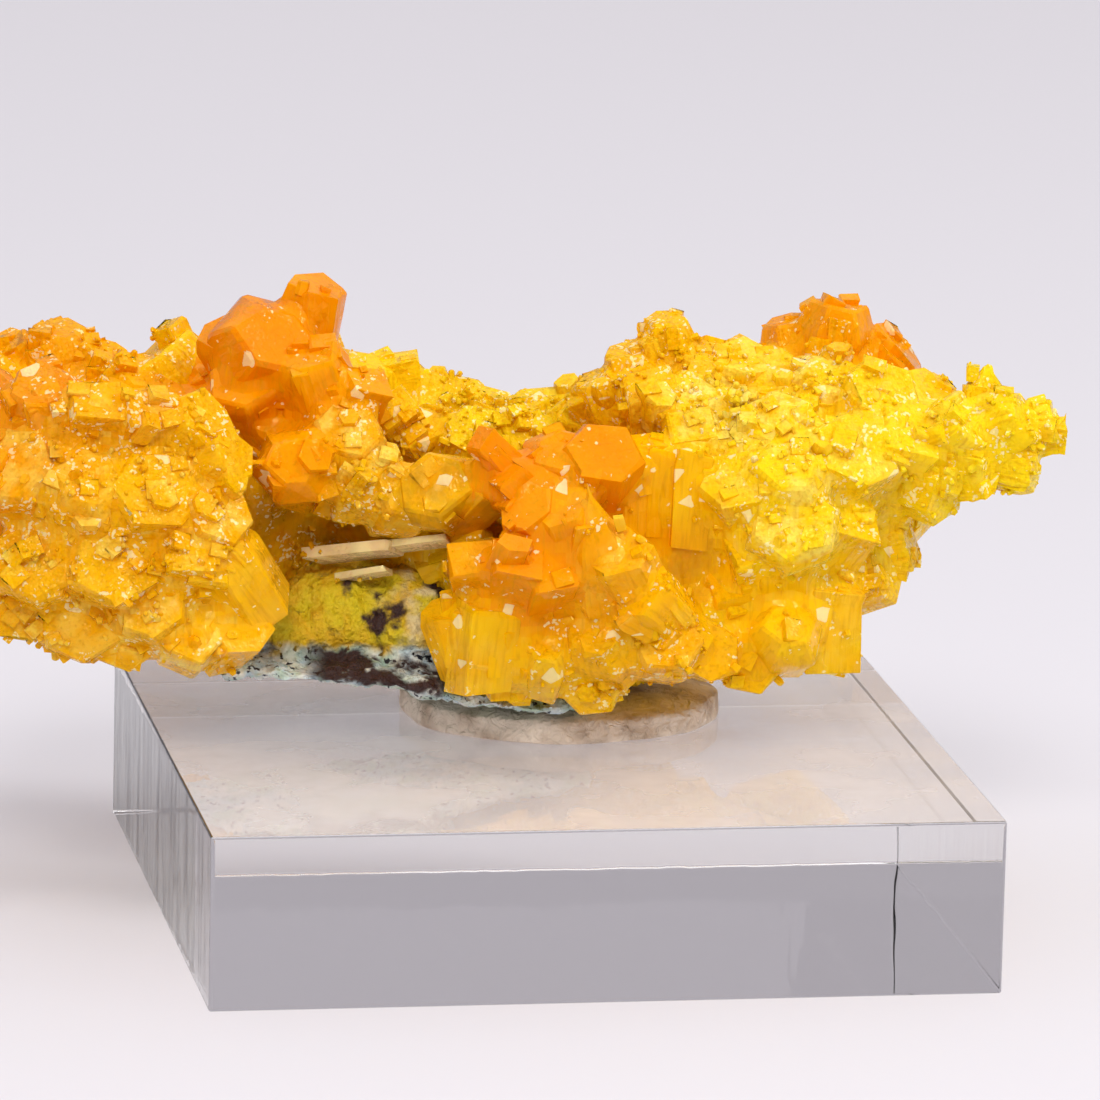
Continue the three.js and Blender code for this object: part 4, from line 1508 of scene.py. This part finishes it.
@dataclass(frozen=True)
class Core:
    """The body that the crystals grow from.

    Attributes:
        sections: each (across, front, back, low, high).
        swell: how much larger than its sections it is drawn.
        sides: the sides of its outline.
    """

    sections: tuple[Section, ...] = (
        (-35.0, -3.0, 3.0, 20.4, 26.0),
        (-31.6, -5.8, 7.0, 17.8, 29.2),
        (-26.6, -7.8, 9.5, 16.2, 30.0),
        (-21.4, -7.0, 10.5, 15.8, 29.8),
        (-17.2, -2.8, 11.0, 15.8, 30.4),
        (-12.6, 0.4, 11.5, 15.8, 29.6),
        (-8.6, -1.4, 11.5, 15.6, 27.4),
        (-4.6, -4.8, 11.5, 14.2, 26.2),
        (1.7, -6.6, 11.0, 13.0, 26.8),
        (6.0, -6.4, 11.0, 13.0, 29.0),
        (10.4, -5.2, 11.5, 14.8, 30.2),
        (15.0, -4.0, 11.0, 16.4, 30.4),
        (18.2, -2.6, 10.0, 19.4, 29.6),
        (21.6, -2.0, 7.5, 23.6, 28.2),
        (25.4, -1.6, 3.6, 26.2, 28.6),
        (27.8, -0.8, 1.6, 27.2, 28.4),
    )
    swell: float = 1.08
    sides: int = 8

    def section(self, across: float) -> tuple[float, ...]:
        """The core's (front, back, low, high) at this distance across.

        Args:
            across: the distance across.

        Returns:
            The four distances, between those of the sections on either side.
        """
        stations = [section[0] for section in self.sections]
        columns = zip(*(section[1:] for section in self.sections))
        return tuple(float(np.interp(across, stations, column)) for column in columns)

    def build(self, name: str) -> Object:
        """Draws the core.

        Args:
            name: the piece's name.

        Returns:
            The core, a closed body.
        """
        core = start_outline(name, self.sides, rotation=(math.pi / self.sides, math.pi / 2, 0))
        draw_through(core, self.sections, self.swell)
        return core


@dataclass(frozen=True)
class BackCrystals:
    """Rows of large crystals over the top and round the back, each standing out from the core.

    Attributes:
        rows: how many rows there are.
        per_row: crystals in a row.
        across: where the rows begin and end.
        around: the angles of the first and last row, up from straight back.
        shift: how far along its own stretch of the row each crystal stands.
        stagger: how much further those of every other row stand.
        stray: how far each strays along that stretch.
        stray_up: how far each strays from its row, as a share of the way from the first to the last.
        radius: the least and greatest radius.
        length: the least and greatest length.
        out: how far out of the core's middle they stand, as a share of the core's surface.
        fan: the leans at the two ends of a row.
        tilt: by how many degrees their leans and their nods differ.
        spin: the most that one is turned about itself.
        habits: their forms.
    """

    rows: int = 4
    per_row: int = 7
    across: Pair = (-34, 22.5)
    around: Pair = (72, -46)
    shift: float = 0.3
    stagger: float = 0.5
    stray: float = 0.5
    stray_up: float = 0.12
    radius: Pair = (3.1, 4.4)
    length: Pair = (4.2, 5.6)
    out: float = 0.94
    fan: Pair = (-34, 34)
    tilt: float = 40
    spin: float = 60
    habits: tuple[Habit, ...] = (PRISM, BLOCK, BARREL, TABLE)

    def grow(self, core: Core) -> list[Grown]:
        """All of the crystals, row by row."""
        return [self._one(core, row, k) for row in range(self.rows) for k in range(self.per_row)]

    def _one(self, core: Core, row: int, k: int) -> Grown:
        """Grows one crystal.

        Args:
            core: the body that it stands on.
            row: its row.
            k: which of the row's crystals it is.

        Returns:
            The crystal.
        """
        n = row * self.per_row + k
        shift = self.shift + self.stagger * (row % 2) + self.stray * (chance(n, Use.BACK_SHIFT) - 0.5)
        along = (k + shift) / self.per_row
        step = row / (self.rows - 1) + self.stray_up * (chance(n, Use.BACK_STEP) - 0.5)
        across, around = between(self.across, along), between(self.around, step)
        front, back, low, high = core.section(across)
        out = (back - front) / 2 * self.out * math.cos(math.radians(around))
        up = (high - low) / 2 * self.out * math.sin(math.radians(around))
        middle = Vector((across, (front + back) / 2 + out, (low + high) / 2 + up))
        lean = between(self.fan, along) + self.tilt * (chance(n, Use.BACK_LEAN) - 0.5)
        nod = around - 90 + self.tilt * (chance(n, Use.BACK_NOD) - 0.5)
        tilt = (lean, nod, self.spin * chance(n, Use.BACK_TURN))
        radius = between(self.radius, chance(n, Use.BACK_RADIUS))
        length = between(self.length, chance(n, Use.BACK_LENGTH))
        return Grown.tilted(one_of(self.habits, n, Use.BACK_HABIT), middle, tilt, radius, length)


@dataclass(frozen=True)
class SmallCrystals:
    """Small crystals, each turned almost as the large one that it stands on or beside.

    Attributes:
        tries: how many places on the soft mass are tried.
        kept: the share of them that get a crystal where nothing is grainy, and what full grain adds.
        radius: the least and greatest radius there.
        rarity: how rare the larger ones are.
        shrink: the factor on that radius where nothing is grainy, and what full grain takes off it.
        deep: the least and greatest depth that they sit at, in their own radii.
        habits: their forms.
        shoots: shoots on a large crystal, before grain counts.
        shooting: the share of them that grow where nothing is grainy, and what full grain adds.
        shoot_radius: the least and greatest radius of a shoot, as shares of the large crystal's.
        proud: how far a shoot stands out, in millimetres.
        reach: how far out on the tip's face a shoot may stand, as a share of the radius.
        root: how far under that face its middle lies, in its own radii.
        alike: the share of the shoots that have the large crystal's habit.
        wobble: the degrees by which each is turned away from the large one, about each axis.
        thick: the least and greatest thickness, as shares of the width.
        long: the least and greatest length, in their own radii.
    """

    tries: int = 4600
    kept: Pair = (0.06, 1.3)
    radius: Pair = (0.34, 1.1)
    rarity: float = 1.8
    shrink: Pair = (1.15, 0.5)
    deep: Pair = (0.5, 1.1)
    habits: tuple[Habit, ...] = (BLOCK, BLOCK, PRISM, BLOCK, POINT)
    shoots: int = 5
    shooting: Pair = (0.15, 1.2)
    shoot_radius: Pair = (0.16, 0.4)
    proud: Pair = (-0.2, 0.15)
    reach: float = 0.85
    root: float = 1.2
    alike: float = 0.3
    wobble: Pair = (-14, 14)
    thick: Pair = (0.65, 1)
    long: Pair = (1.7, 3.1)

    def crust(self, mass: Object, large: list[Grown], zones: ZoneMap) -> list[Grown]:
        """Grows small crystals all over the soft mass.

        Args:
            mass: the soft mass.
            large: the large crystals.
            zones: the look from place to place.

        Returns:
            The small crystals.
        """
        tree = kdtree.KDTree(len(large))
        for n, crystal in enumerate(large):
            tree.insert(crystal.middle, n)
        tree.balance()
        places, normals = scatter(mass.data, self.tries, Use.CRUST_PLACE)
        grain = zones.look(places)[:, GRAIN]
        bare, added = self.kept
        full, less = self.shrink
        made = []
        for n in np.flatnonzero(chances(np.arange(self.tries), Use.CRUST_KEPT) < bare + added * grain):
            place, normal = Vector(places[n]), Vector(normals[n])
            beside = large[tree.find(place)[1]]
            radius = between(self.radius, chance(n, Use.CRUST_RADIUS) ** self.rarity)
            radius *= full - less * grain[n]
            deep = radius * between(self.deep, chance(n, Use.CRUST_DEPTH))
            habit = one_of(self.habits, n, Use.CRUST_HABIT)
            middle = place - normal * deep
            made.append(self._small(habit, middle, beside.turned, radius, CRUST_SEED + n))
        return made

    def on_large(self, parent: Grown, n: int, zones: ZoneMap) -> Iterator[Grown]:
        """Grows shoots out of a large crystal, by turns from its side and its tip.

        Args:
            parent: the large crystal.
            n: which large crystal it is.
            zones: the look from place to place.

        Yields:
            The shoots.
        """
        if parent.habit is BLADE:
            return
        wide, thick, long = parent.size
        bare, added = self.shooting
        grain = zones.look(np.array([parent.middle]))[0, GRAIN]
        for k in range(round(self.shoots * (bare + added * grain))):
            seed = SHOOT_SEED * n + k
            around = 2 * math.pi * chance(seed, Use.SHOOT_AROUND)
            radius = wide * between(self.shoot_radius, chance(seed, Use.SHOOT_RADIUS))
            proud = between(self.proud, chance(seed, Use.SHOOT_PROUD))
            if k % 2:
                out = self.reach * math.sqrt(chance(seed, Use.SHOOT_OUT))
                height = long / 2 + proud - radius * self.root
            else:
                out = 1 - radius / wide + proud / wide
                height = long * (chance(seed, Use.SHOOT_HEIGHT) - 0.5)
            local = Vector((out * wide * math.cos(around), out * thick * math.sin(around), height))
            habit = parent.habit if chance(seed, Use.SHOOT_HABIT) < self.alike else BLOCK
            yield self._small(habit, parent.middle + parent.turned @ local, parent.turned, radius, seed)

    def _small(self, habit: Habit, middle: Vector, turned: Matrix, radius: float, seed: float) -> Grown:
        """A small crystal, turned almost as its neighbour is.

        Args:
            habit: its form.
            middle: its middle.
            turned: the neighbour's rotation.
            radius: half its width.
            seed: which crystal it is.

        Returns:
            The crystal.
        """
        angles = (between(self.wobble, chance(seed, Use.WOBBLE + axis)) for axis in range(3))
        wobble = Euler([math.radians(angle) for angle in angles]).to_matrix().to_4x4()
        thick = radius * between(self.thick, chance(seed, Use.THICK))
        long = radius * between(self.long, chance(seed, Use.LONG))
        return Grown(habit, middle, turned @ wobble, Vector((radius, thick, long)))


@dataclass(frozen=True)
class CrystalMass:
    """The crystals, grown together as one mass.

    Attributes:
        sight: the line of sight along which they are placed.
        zones: the look from place to place.
        core: the body that they grow from.
        behind: the large crystals of the top and back.
        small: the small crystals that grow on the large ones and between them.
        cell: the size of the cells of the soft mass that fills the clefts between large crystals.
        soften: how many times that mass is smoothed.
        softness: how much it is smoothed each time.
        sink: how far it is then drawn in.
        floor: nothing reaches below this height.
    """

    sight: SightLine
    zones: ZoneMap
    core: Core = Core()
    behind: BackCrystals = BackCrystals()
    small: SmallCrystals = SmallCrystals()
    cell: float = 0.6
    soften: int = 5
    softness: float = 0.6
    sink: float = 0.08
    floor: float = 11.8

    def build(self, patterns: CrystalPatterns) -> Object:
        """Grows the mass.

        Args:
            patterns: the unit crystals.

        Returns:
            The mass, still in the specimen's frame and millimetres.
        """
        lists = (LEFT_MASS, LEFT_TOP, ORANGE_GROUP, SADDLE, MIDDLE_FRONT)
        lists += (LOWER_FRONT, RIGHT_FRONT, RIGHT_TOP, RIGHT_TIP)
        large = [self._placed(entry) for entries in lists for entry in entries]
        large += self.behind.grow(self.core)
        mass = self._soft_mass(large, patterns)
        small = self.small.crust(mass, large, self.zones)
        for n, parent in enumerate(large):
            small += self.small.on_large(parent, n, self.zones)
        unite(mass, [*self._meshes(large, patterns.rich), *self._meshes(small, patterns.plain)])
        with editing(mass):
            bpy.ops.mesh.select_all(action="SELECT")
            level = {"plane_co": (0, 0, self.floor), "plane_no": (0, 0, 1)}
            bpy.ops.mesh.bisect(clear_inner=True, use_fill=True, **level)
        return mass

    def _placed(self, entry: Entry) -> Grown:
        """The crystal of one entry of the lists."""
        habit, place, (radius, length), tilt = entry
        return Grown.tilted(habit, self.sight.place(*place), tilt, radius, length)

    def _meshes(
        self, crystals: list[Grown], patterns: dict[Habit, list[Pattern]]
    ) -> Iterator[Mesh]:
        """The crystals' meshes, each with the look of its place, but for the blades' veil.

        Args:
            crystals: the crystals.
            patterns: the unit crystals.

        Yields:
            The meshes.
        """
        looks = self.zones.look(np.array([crystal.middle for crystal in crystals]))
        looks[[crystal.habit is BLADE for crystal in crystals], LOOKS.index("veil")] = BLADE_VEIL
        for n, (crystal, look) in enumerate(zip(crystals, looks)):
            variants = patterns[crystal.habit]
            yield crystal.mesh(variants[n % len(variants)], look, n)

    def _soft_mass(self, large: list[Grown], patterns: CrystalPatterns) -> Object:
        """The body between the crystals: core and large crystals in one skin, smoothed into the clefts.

        Args:
            large: the large crystals.
            patterns: the unit crystals.

        Returns:
            The body, with its look on it.
        """
        mass = self.core.build("mimetite_mass")
        unite(mass, self._meshes([one for one in large if one.habit is not BLADE], patterns.plain))
        for name in (*LOOKS, OWN):
            if name in mass.data.attributes:
                mass.data.attributes.remove(mass.data.attributes[name])
        modify(mass, "REMESH", mode="VOXEL", voxel_size=self.cell)
        modify(mass, "SMOOTH", factor=self.softness, iterations=self.soften)
        modify(mass, "DISPLACE", strength=-self.sink, mid_level=0)
        middles = np.array([face.center for face in mass.data.polygons])
        write_look(mass.data, self.zones.look(middles), corner_places(mass.data))
        return mass


@dataclass(frozen=True)
class FineCrystals:
    """The smallest crystals, strewn over the grainy parts of the mass as one joined mesh.

    Attributes:
        zones: the look from place to place.
        tries: how many places are tried.
        patch: the size of the patches that they keep to, in millimetres.
        kept: the share of the places that get one where a patch begins, and how fast it grows inside.
        radius: the least and greatest radius, in millimetres.
        length: the least and greatest length, in radii.
        tilt: the degrees that they lean, about each axis.
        sides: side faces of each.
        body: the length of the part below the tip, before it is drawn out.
        lift: how far above its root's middle that part's middle is.
        tip: the tip's length.
        tip_width: its width at the end, as a share of the body's.
    """

    zones: ZoneMap
    tries: int = 44000
    patch: float = 2.4
    kept: Pair = (0.2, 2)
    radius: Pair = (0.07, 0.24)
    length: Pair = (1.0, 2.2)
    tilt: Pair = (-38, 38)
    sides: int = 5
    body: float = 1.3
    lift: float = 0.1
    tip: float = 0.22
    tip_width: float = 0.6

    def build(self, mass: Object) -> Object:
        """Strews the crystals.

        Args:
            mass: the mass in the specimen's frame.

        Returns:
            The piece, in the same frame, with all of them in one mesh.
        """
        pattern = Pattern.of(self._pattern())
        points = np.array([vertex.co for vertex in pattern.mesh.vertices])
        faces = [tuple(face.vertices) for face in pattern.mesh.polygons]
        corners, shapes, sizes = [], [], []
        places, normals, looks = self._spots(mass)
        for n, (place, normal) in enumerate(zip(places, normals)):
            radius = between(self.radius, chance(n, Use.FINE_RADIUS) ** 2)
            length = radius * between(self.length, chance(n, Use.FINE_LENGTH))
            angles = (between(self.tilt, chance(n, Use.FINE_TILT + axis)) for axis in range(3))
            tilt = Euler([math.radians(angle) for angle in angles])
            turned = Vector(normal).to_track_quat("Z", "Y").to_matrix() @ tilt.to_matrix()
            sizes.append((radius, radius, length))
            corners.append((points * sizes[-1]) @ np.array(turned).T + place)
            shapes.extend(tuple(k + n * len(points) for k in face) for face in faces)
        mesh = bpy.data.meshes.new("fine_crystals")
        mesh.from_pydata(np.concatenate(corners).tolist(), [], shapes)
        own = pattern.corners[None] * np.array(sizes)[:, None] + places[:, None]
        write_look(mesh, np.repeat(looks, len(faces), axis=0), own.reshape(-1, 3))
        piece = bpy.data.objects.new("mimetite_fine_crystals", mesh)
        bpy.context.scene.collection.objects.link(piece)
        return piece

    def _pattern(self) -> Mesh:
        """One closed small crystal, its root a little under the origin."""
        piece = start(
            bpy.ops.mesh.primitive_cylinder_add,
            "fine_pattern",
            vertices=self.sides,
            radius=1,
            depth=self.body,
            location=(0, 0, self.lift),
        )
        shoulder = self.lift + self.body / 2
        with editing(piece):
            select_faces(piece, lambda face: face.normal.z > UPRIGHT)
            bpy.ops.mesh.extrude_region_move(TRANSFORM_OT_translate={"value": (0, 0, self.tip)})
            narrow = (self.tip_width, self.tip_width, 1)
            bpy.ops.transform.resize(value=narrow, center_override=(0, 0, shoulder))
        return take_mesh(piece)

    def _spots(self, mass: Object) -> tuple[np.ndarray, np.ndarray, np.ndarray]:
        """Places on the mass, more of them where the zones are grainy.

        Args:
            mass: the mass.

        Returns:
            The places, the normals and the looks there.
        """
        places, normals = scatter(mass.data, self.tries, Use.FINE_PLACE)
        looks = self.zones.look(places)
        patches = np.array([noise.noise(Vector(place) / self.patch) for place in places])
        least, added = self.kept
        share = looks[:, GRAIN] ** 2 * np.clip(least + added * patches, 0, 1)
        kept = chances(np.arange(self.tries), Use.FINE_KEPT) < share
        return places[kept], normals[kept], looks[kept]


@dataclass(frozen=True)
class MatrixRock:
    """The thin plate of rock under the crystals, with humps in the hollow at the front.

    Attributes:
        sight: the line of sight.
        plate: its sections, each (across, front, back, low, high).
        sides: the sides of the plate's outline.
        humps: each ((right, up, back), (half its width, its height), degrees turned).
        voxel: the size of the remeshed surface's cells.
        lumps: the lumps' scale, per millimetre.
        lump: their height.
        lump_layers: their roughness, the step from layer to layer and the number of layers.
        pits: the pits' scale, per millimetre.
        pit: their depth.
    """

    sight: SightLine
    plate: tuple[Section, ...] = (
        (-21.2, -4.4, 3.0, 14.1, 14.8),
        (-18.0, -6.4, 7.0, 13.9, 15.3),
        (-14.0, -6.2, 9.0, 13.8, 15.1),
        (-10.6, -6.6, 10.0, 13.4, 15.6),
        (-7.0, -6.6, 10.4, 12.7, 15.4),
        (-4.0, -5.6, 10.0, 12.1, 13.9),
        (-0.4, -4.6, 9.4, 11.8, 13.2),
        (2.6, -3.0, 7.6, 11.8, 12.8),
    )
    sides: int = 16
    humps: tuple[tuple[Place, Pair, float], ...] = (
        ((-15.4, -4.4, -0.8), (3.2, 5.2), 10),
        ((-12.0, -3.6, -0.2), (3.8, 6.6), 50),
        ((-8.0, -3.8, -1.2), (3.4, 6.0), 80),
    )
    voxel: float = 0.24
    lumps: float = 0.55
    lump: float = 0.34
    lump_layers: tuple[float, float, int] = (0.8, 2.1, 4)
    pits: float = 2.2
    pit: float = 0.12

    def build(self) -> Object:
        """Models the rock.

        Returns:
            The rock in the specimen's frame.
        """
        piece = start_outline("matrix_rock_plate", self.sides, rotation=(0, math.pi / 2, 0))
        draw_through(piece, self.plate, 1)
        unite(piece, [self._hump(*hump) for hump in self.humps])
        modify(piece, "REMESH", mode="VOXEL", voxel_size=self.voxel)
        moved = [self._broken(vertex.co, vertex.normal) for vertex in piece.data.vertices]
        piece.data.vertices.foreach_set("co", np.array(moved).ravel())
        return piece

    def _hump(self, place: Place, size: Pair, turn: float) -> Mesh:
        """One hump.

        Args:
            place: its middle as (right, up, back).
            size: half its width, and its height.
            turn: degrees that it is turned by.

        Returns:
            Its mesh in the specimen's frame.
        """
        half, height = size
        mesh = take_mesh(start(bpy.ops.mesh.primitive_ico_sphere_add, "hump", subdivisions=3, radius=1))
        middle = Matrix.Translation(self.sight.place(*place))
        turned = Matrix.Rotation(math.radians(turn), 4, "Z")
        mesh.transform(middle @ turned @ Matrix.Diagonal((half, half, height / 2, 1)))
        return mesh

    def _broken(self, place: Vector, normal: Vector) -> Vector:
        """Where a point of the surface lies once that is rough as broken rock.

        Args:
            place: the point.
            normal: the surface's normal there.

        Returns:
            The point, moved in or out.
        """
        lump = noise.fractal(place * self.lumps, *self.lump_layers)
        pit = noise.cell(place * self.pits) - 0.5
        return place + normal * (lump * self.lump + pit * self.pit)


@dataclass(frozen=True)
class PuttyPad:
    """The pad of putty, pressed between the block and the rock.

    Attributes:
        width: across.
        depth: from front to back.
        middle: its middle in the specimen's frame.
        bottom: the height of the block's top.
        thickness: at the rim.
        rise: how much higher it stands where the rock presses into it.
        sides: points round its rim.
        rings: rings of faces from the rim inwards.
        ring: the width of one, as a share of the radius.
        rim: the rounding of the rim.
        lobes: the waves of its outline, each (how many, how deep as a share of the radius, radians on).
        ragged: how far its outline also strays, as a share of the radius.
        ragged_scale: how many such strays there are to a radian.
        upper: the share of the thickness above which it swells.
        swell: the height of the swellings.
        swells: how many of them there are to a radius.
    """

    width: float = 18.6
    depth: float = 15
    middle: Pair = (0.6, 4.6)
    bottom: float = 10
    thickness: float = 1.5
    rise: float = 0.7
    sides: int = 72
    rings: int = 5
    ring: float = 0.13
    rim: float = 0.3
    lobes: tuple[Place, ...] = ((3, 0.025, 0.6), (7, 0.018, 0))
    ragged: float = 0.02
    ragged_scale: float = 4
    upper: float = 0.6
    swell: float = 0.25
    swells: float = 3

    def build(self) -> Object:
        """Models the pad.

        Returns:
            The pad in the specimen's frame.
        """
        piece = start(
            bpy.ops.mesh.primitive_cylinder_add,
            "mineral_putty_pad",
            vertices=self.sides,
            radius=1,
            depth=self.thickness,
        )
        with editing(piece):
            select_faces(piece, lambda face: abs(face.normal.z) > UPRIGHT)
            for _ in range(self.rings):
                bpy.ops.mesh.inset(thickness=self.ring)
        soft = {"width": self.rim, "segments": 4, "angle_limit": math.radians(60)}
        modify(piece, "BEVEL", limit_method="ANGLE", **soft)
        modify(piece, "SUBSURF", levels=1, render_levels=1)
        moved = [self._pressed(vertex.co) for vertex in piece.data.vertices]
        piece.data.vertices.foreach_set("co", np.array(moved).ravel())
        return piece

    def _pressed(self, spot: Vector) -> Place:
        """Where a point of the round pad comes to lie in the pressed one.

        Args:
            spot: the point, in a pad of radius one about the origin.

        Returns:
            The point in the specimen's frame.
        """
        x, y, z = spot
        angle, out = math.atan2(y, x), math.hypot(x, y)
        dent = 1 + sum(deep * math.sin(many * angle + on) for many, deep, on in self.lobes)
        round_rim = (self.ragged_scale * math.cos(angle), self.ragged_scale * math.sin(angle), z)
        dent += self.ragged * noise.noise(Vector(round_rim))
        share = (z + self.thickness / 2) / self.thickness
        height = self.bottom + self.thickness * share
        if share > self.upper:
            swell = noise.noise(Vector((x * self.swells, y * self.swells, 7.0))) * self.swell
            height += (self.rise * (1 - out**3) + swell) * share
        wide, deep = self.width / 2 * dent, self.depth / 2 * dent
        return (self.middle[0] + x * wide, self.middle[1] + y * deep, max(height, self.bottom))


@dataclass(frozen=True)
class AcrylicBlock:
    """The clear block under the specimen.

    Attributes:
        side: the square's side.
        thickness: its height.
        corner: the rounding of the upright corners.
        edge: the width of the broken edges above and below.
        margin: the strip along each edge over which the flat faces' shading turns into the edge's.
    """

    side: float = 45
    thickness: float = 10
    corner: float = 0.2
    edge: float = 0.12
    margin: float = 0.05

    def build(self) -> Object:
        """Models the block.

        Returns:
            The block in the row frame.
        """
        side, thickness = self.side * MM, self.thickness * MM
        piece = start(
            bpy.ops.mesh.primitive_cube_add,
            "acrylic_block",
            size=1,
            location=(0, 0, thickness / 2),
            scale=(side, side, thickness),
        )
        with editing(piece, "EDGE"):
            mesh = bmesh.from_edit_mesh(piece.data)
            for edge in mesh.edges:
                a, b = (vertex.co for vertex in edge.verts)
                edge.select_set(abs(a.z - b.z) > thickness / 2)
            bmesh.update_edit_mesh(piece.data)
            bpy.ops.mesh.bevel(offset=self.corner * MM, segments=5, affect="EDGES")
        broken = {"width": self.edge * MM, "segments": 3, "angle_limit": math.radians(40)}
        modify(piece, "BEVEL", limit_method="ANGLE", **broken)
        with editing(piece):
            select_faces(piece, lambda face: face.calc_area() > thickness**2)
            bpy.ops.mesh.inset(thickness=self.margin * MM, use_individual=True)
        return piece


@dataclass(frozen=True)
class Lamp:
    """A square lamp.

    Attributes:
        name: its name.
        place: in metres.
        side: the square's side in metres.
        power: in watts.
    """

    name: str
    place: Place
    side: float
    power: float

    def build(self, target: Vector) -> None:
        """Lights it.

        Args:
            target: what it shines at, in metres.
        """
        lamp = bpy.data.lights.new(self.name, "AREA")
        lamp.shape = "SQUARE"
        lamp.size = self.side
        lamp.energy = self.power
        holder = bpy.data.objects.new(self.name, lamp)
        bpy.context.scene.collection.objects.link(holder)
        facing = (target - Vector(self.place)).to_track_quat("-Z", "Y").to_matrix().to_4x4()
        holder.matrix_world = Matrix.Translation(self.place) @ facing


@dataclass(frozen=True)
class Studio:
    """The pale floor, the soft lights and the camera.

    Attributes:
        sight: the camera's line of sight.
        floor_side: the side of the floor, in metres.
        floor_gap: how far under the block the floor lies, in millimetres.
        floor_colour: the floor's colour.
        floor_rough: its roughness.
        lamps: the lamps.
        room_behind: the room's light from behind the specimen.
        room_before: its light from behind the camera.
        turning: how far round to the camera's side that begins and is whole, as a sine.
        room_above: its light from above.
        rising: how far up that begins and is whole, as a sine.
        sensor: the width of the camera's sensor, in millimetres.
    """

    sight: SightLine
    floor_side: float = 8
    floor_gap: float = 0.05
    floor_colour: Colour = (0.695, 0.68, 0.71)
    floor_rough: float = 0.7
    lamps: tuple[Lamp, ...] = (
        Lamp("key", (0.40, -0.24, 0.46), 0.15, 1.35),
        Lamp("front", (-0.16, -0.60, 0.50), 0.20, 2.55),
    )
    room_behind: Colour = (0.40, 0.375, 0.41)
    room_before: Colour = (0.30, 0.29, 0.29)
    turning: Pair = (-0.1, 0.7)
    room_above: Colour = (1.16, 1.13, 1.16)
    rising: Pair = (0.35, 0.9)
    sensor: float = 36

    def build(self) -> None:
        """Sets up the floor, the lights, the world and the camera."""
        self._floor()
        self._world()
        for lamp in self.lamps:
            lamp.build(Vector((0, 0, self.sight.height * MM)))
        self._camera()
        scene = bpy.context.scene
        scene.view_settings.view_transform = "Standard"
        scene.cycles.adaptive_threshold = 0.07
        scene.cycles.max_bounces = 7
        scene.cycles.diffuse_bounces = 3
        scene.cycles.glossy_bounces = 3
        scene.cycles.caustics_reflective = False
        scene.cycles.caustics_refractive = False

    def _floor(self) -> None:
        """A plain pale floor."""
        floor = start(
            bpy.ops.mesh.primitive_plane_add,
            "floor",
            size=self.floor_side,
            location=(0, 0, -self.floor_gap * MM),
        )
        material, nodes, result = new_material("floor")
        surface = nodes.add("BsdfPrincipled", Base_Color=self.floor_colour, Roughness=self.floor_rough)
        nodes.feed(result, "Surface", surface.outputs[0])
        floor.data.materials.append(material)
        floor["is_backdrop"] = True

    def _world(self) -> None:
        """A room that is brightest above, and darker behind the camera than behind the specimen."""
        world = bpy.data.worlds.new("room")
        world.use_nodes = True
        nodes = Nodes(world.node_tree)
        towards = nodes.add("TexCoord").outputs["Generated"]
        axes = nodes.add("SeparateXYZ", Vector=towards)
        front = nodes.maths("MULTIPLY", axes.outputs[1], -1.0)
        colour = nodes.mix(nodes.ramp(front, *self.turning), self.room_behind, self.room_before)
        colour = nodes.mix(nodes.ramp(axes.outputs[2], *self.rising), colour, self.room_above)
        nodes.feed(world.node_tree.nodes["Background"], "Color", colour)
        bpy.context.scene.world = world

    def _camera(self) -> None:
        """The camera at the photograph's viewing angle."""
        sight = self.sight
        angle, turn = math.radians(sight.angle), math.radians(sight.turn)
        lens = bpy.data.cameras.new("camera")
        lens.lens = sight.lens
        lens.sensor_width = self.sensor
        lens.clip_start = 0.01
        camera = bpy.data.objects.new("camera", lens)
        bpy.context.scene.collection.objects.link(camera)
        aim = Matrix.Translation((0, 0, sight.height * MM))
        swing = Matrix.Rotation(turn, 4, "Z") @ Matrix.Rotation(math.pi / 2 - angle, 4, "X")
        away = Matrix.Translation((0, 0, sight.distance * MM))
        camera.matrix_world = aim @ swing @ away @ Matrix.Rotation(math.radians(sight.roll), 4, "Z")
        bpy.context.scene.camera = camera


def main() -> None:
    """Builds the specimen and its surroundings, and reports each piece."""
    logging.basicConfig(level=logging.INFO, format="%(relativeCreated)6d ms  %(message)s")
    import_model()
    cad_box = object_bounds()
    sight = SightLine()
    effects = SharedEffects.build()
    mimetite = MimetiteFinish().build(effects)

    zones = ZoneMap(sight)
    mass = CrystalMass(sight, zones).build(CrystalPatterns().build())
    log.info("crystals grown")
    fine = FineCrystals(zones).build(mass)
    rock = MatrixRock(sight).build()
    pad = PuttyPad().build()
    block = AcrylicBlock().build()
    for piece in (mass, fine, rock, pad):
        piece.data.transform(sight.specimen_to_row())

    dress(mass, mimetite, ["mimetite_crystals"], 24)
    dress(fine, mimetite, [], 20)
    dress(rock, RockFinish().build(effects, sight), ["matrix_rock"], 50)
    dress(pad, PuttyFinish().build(effects), ["mineral_putty"], 60)
    dress(block, AcrylicFinish().build(effects), ["acrylic_base"], 35)

    Studio(sight).build()
    boxes = {"cad": cad_box, "visual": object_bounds()}
    {key: [list(corner) for corner in box] for key, box in boxes.items()}


if __name__ == "__main__":
    main()
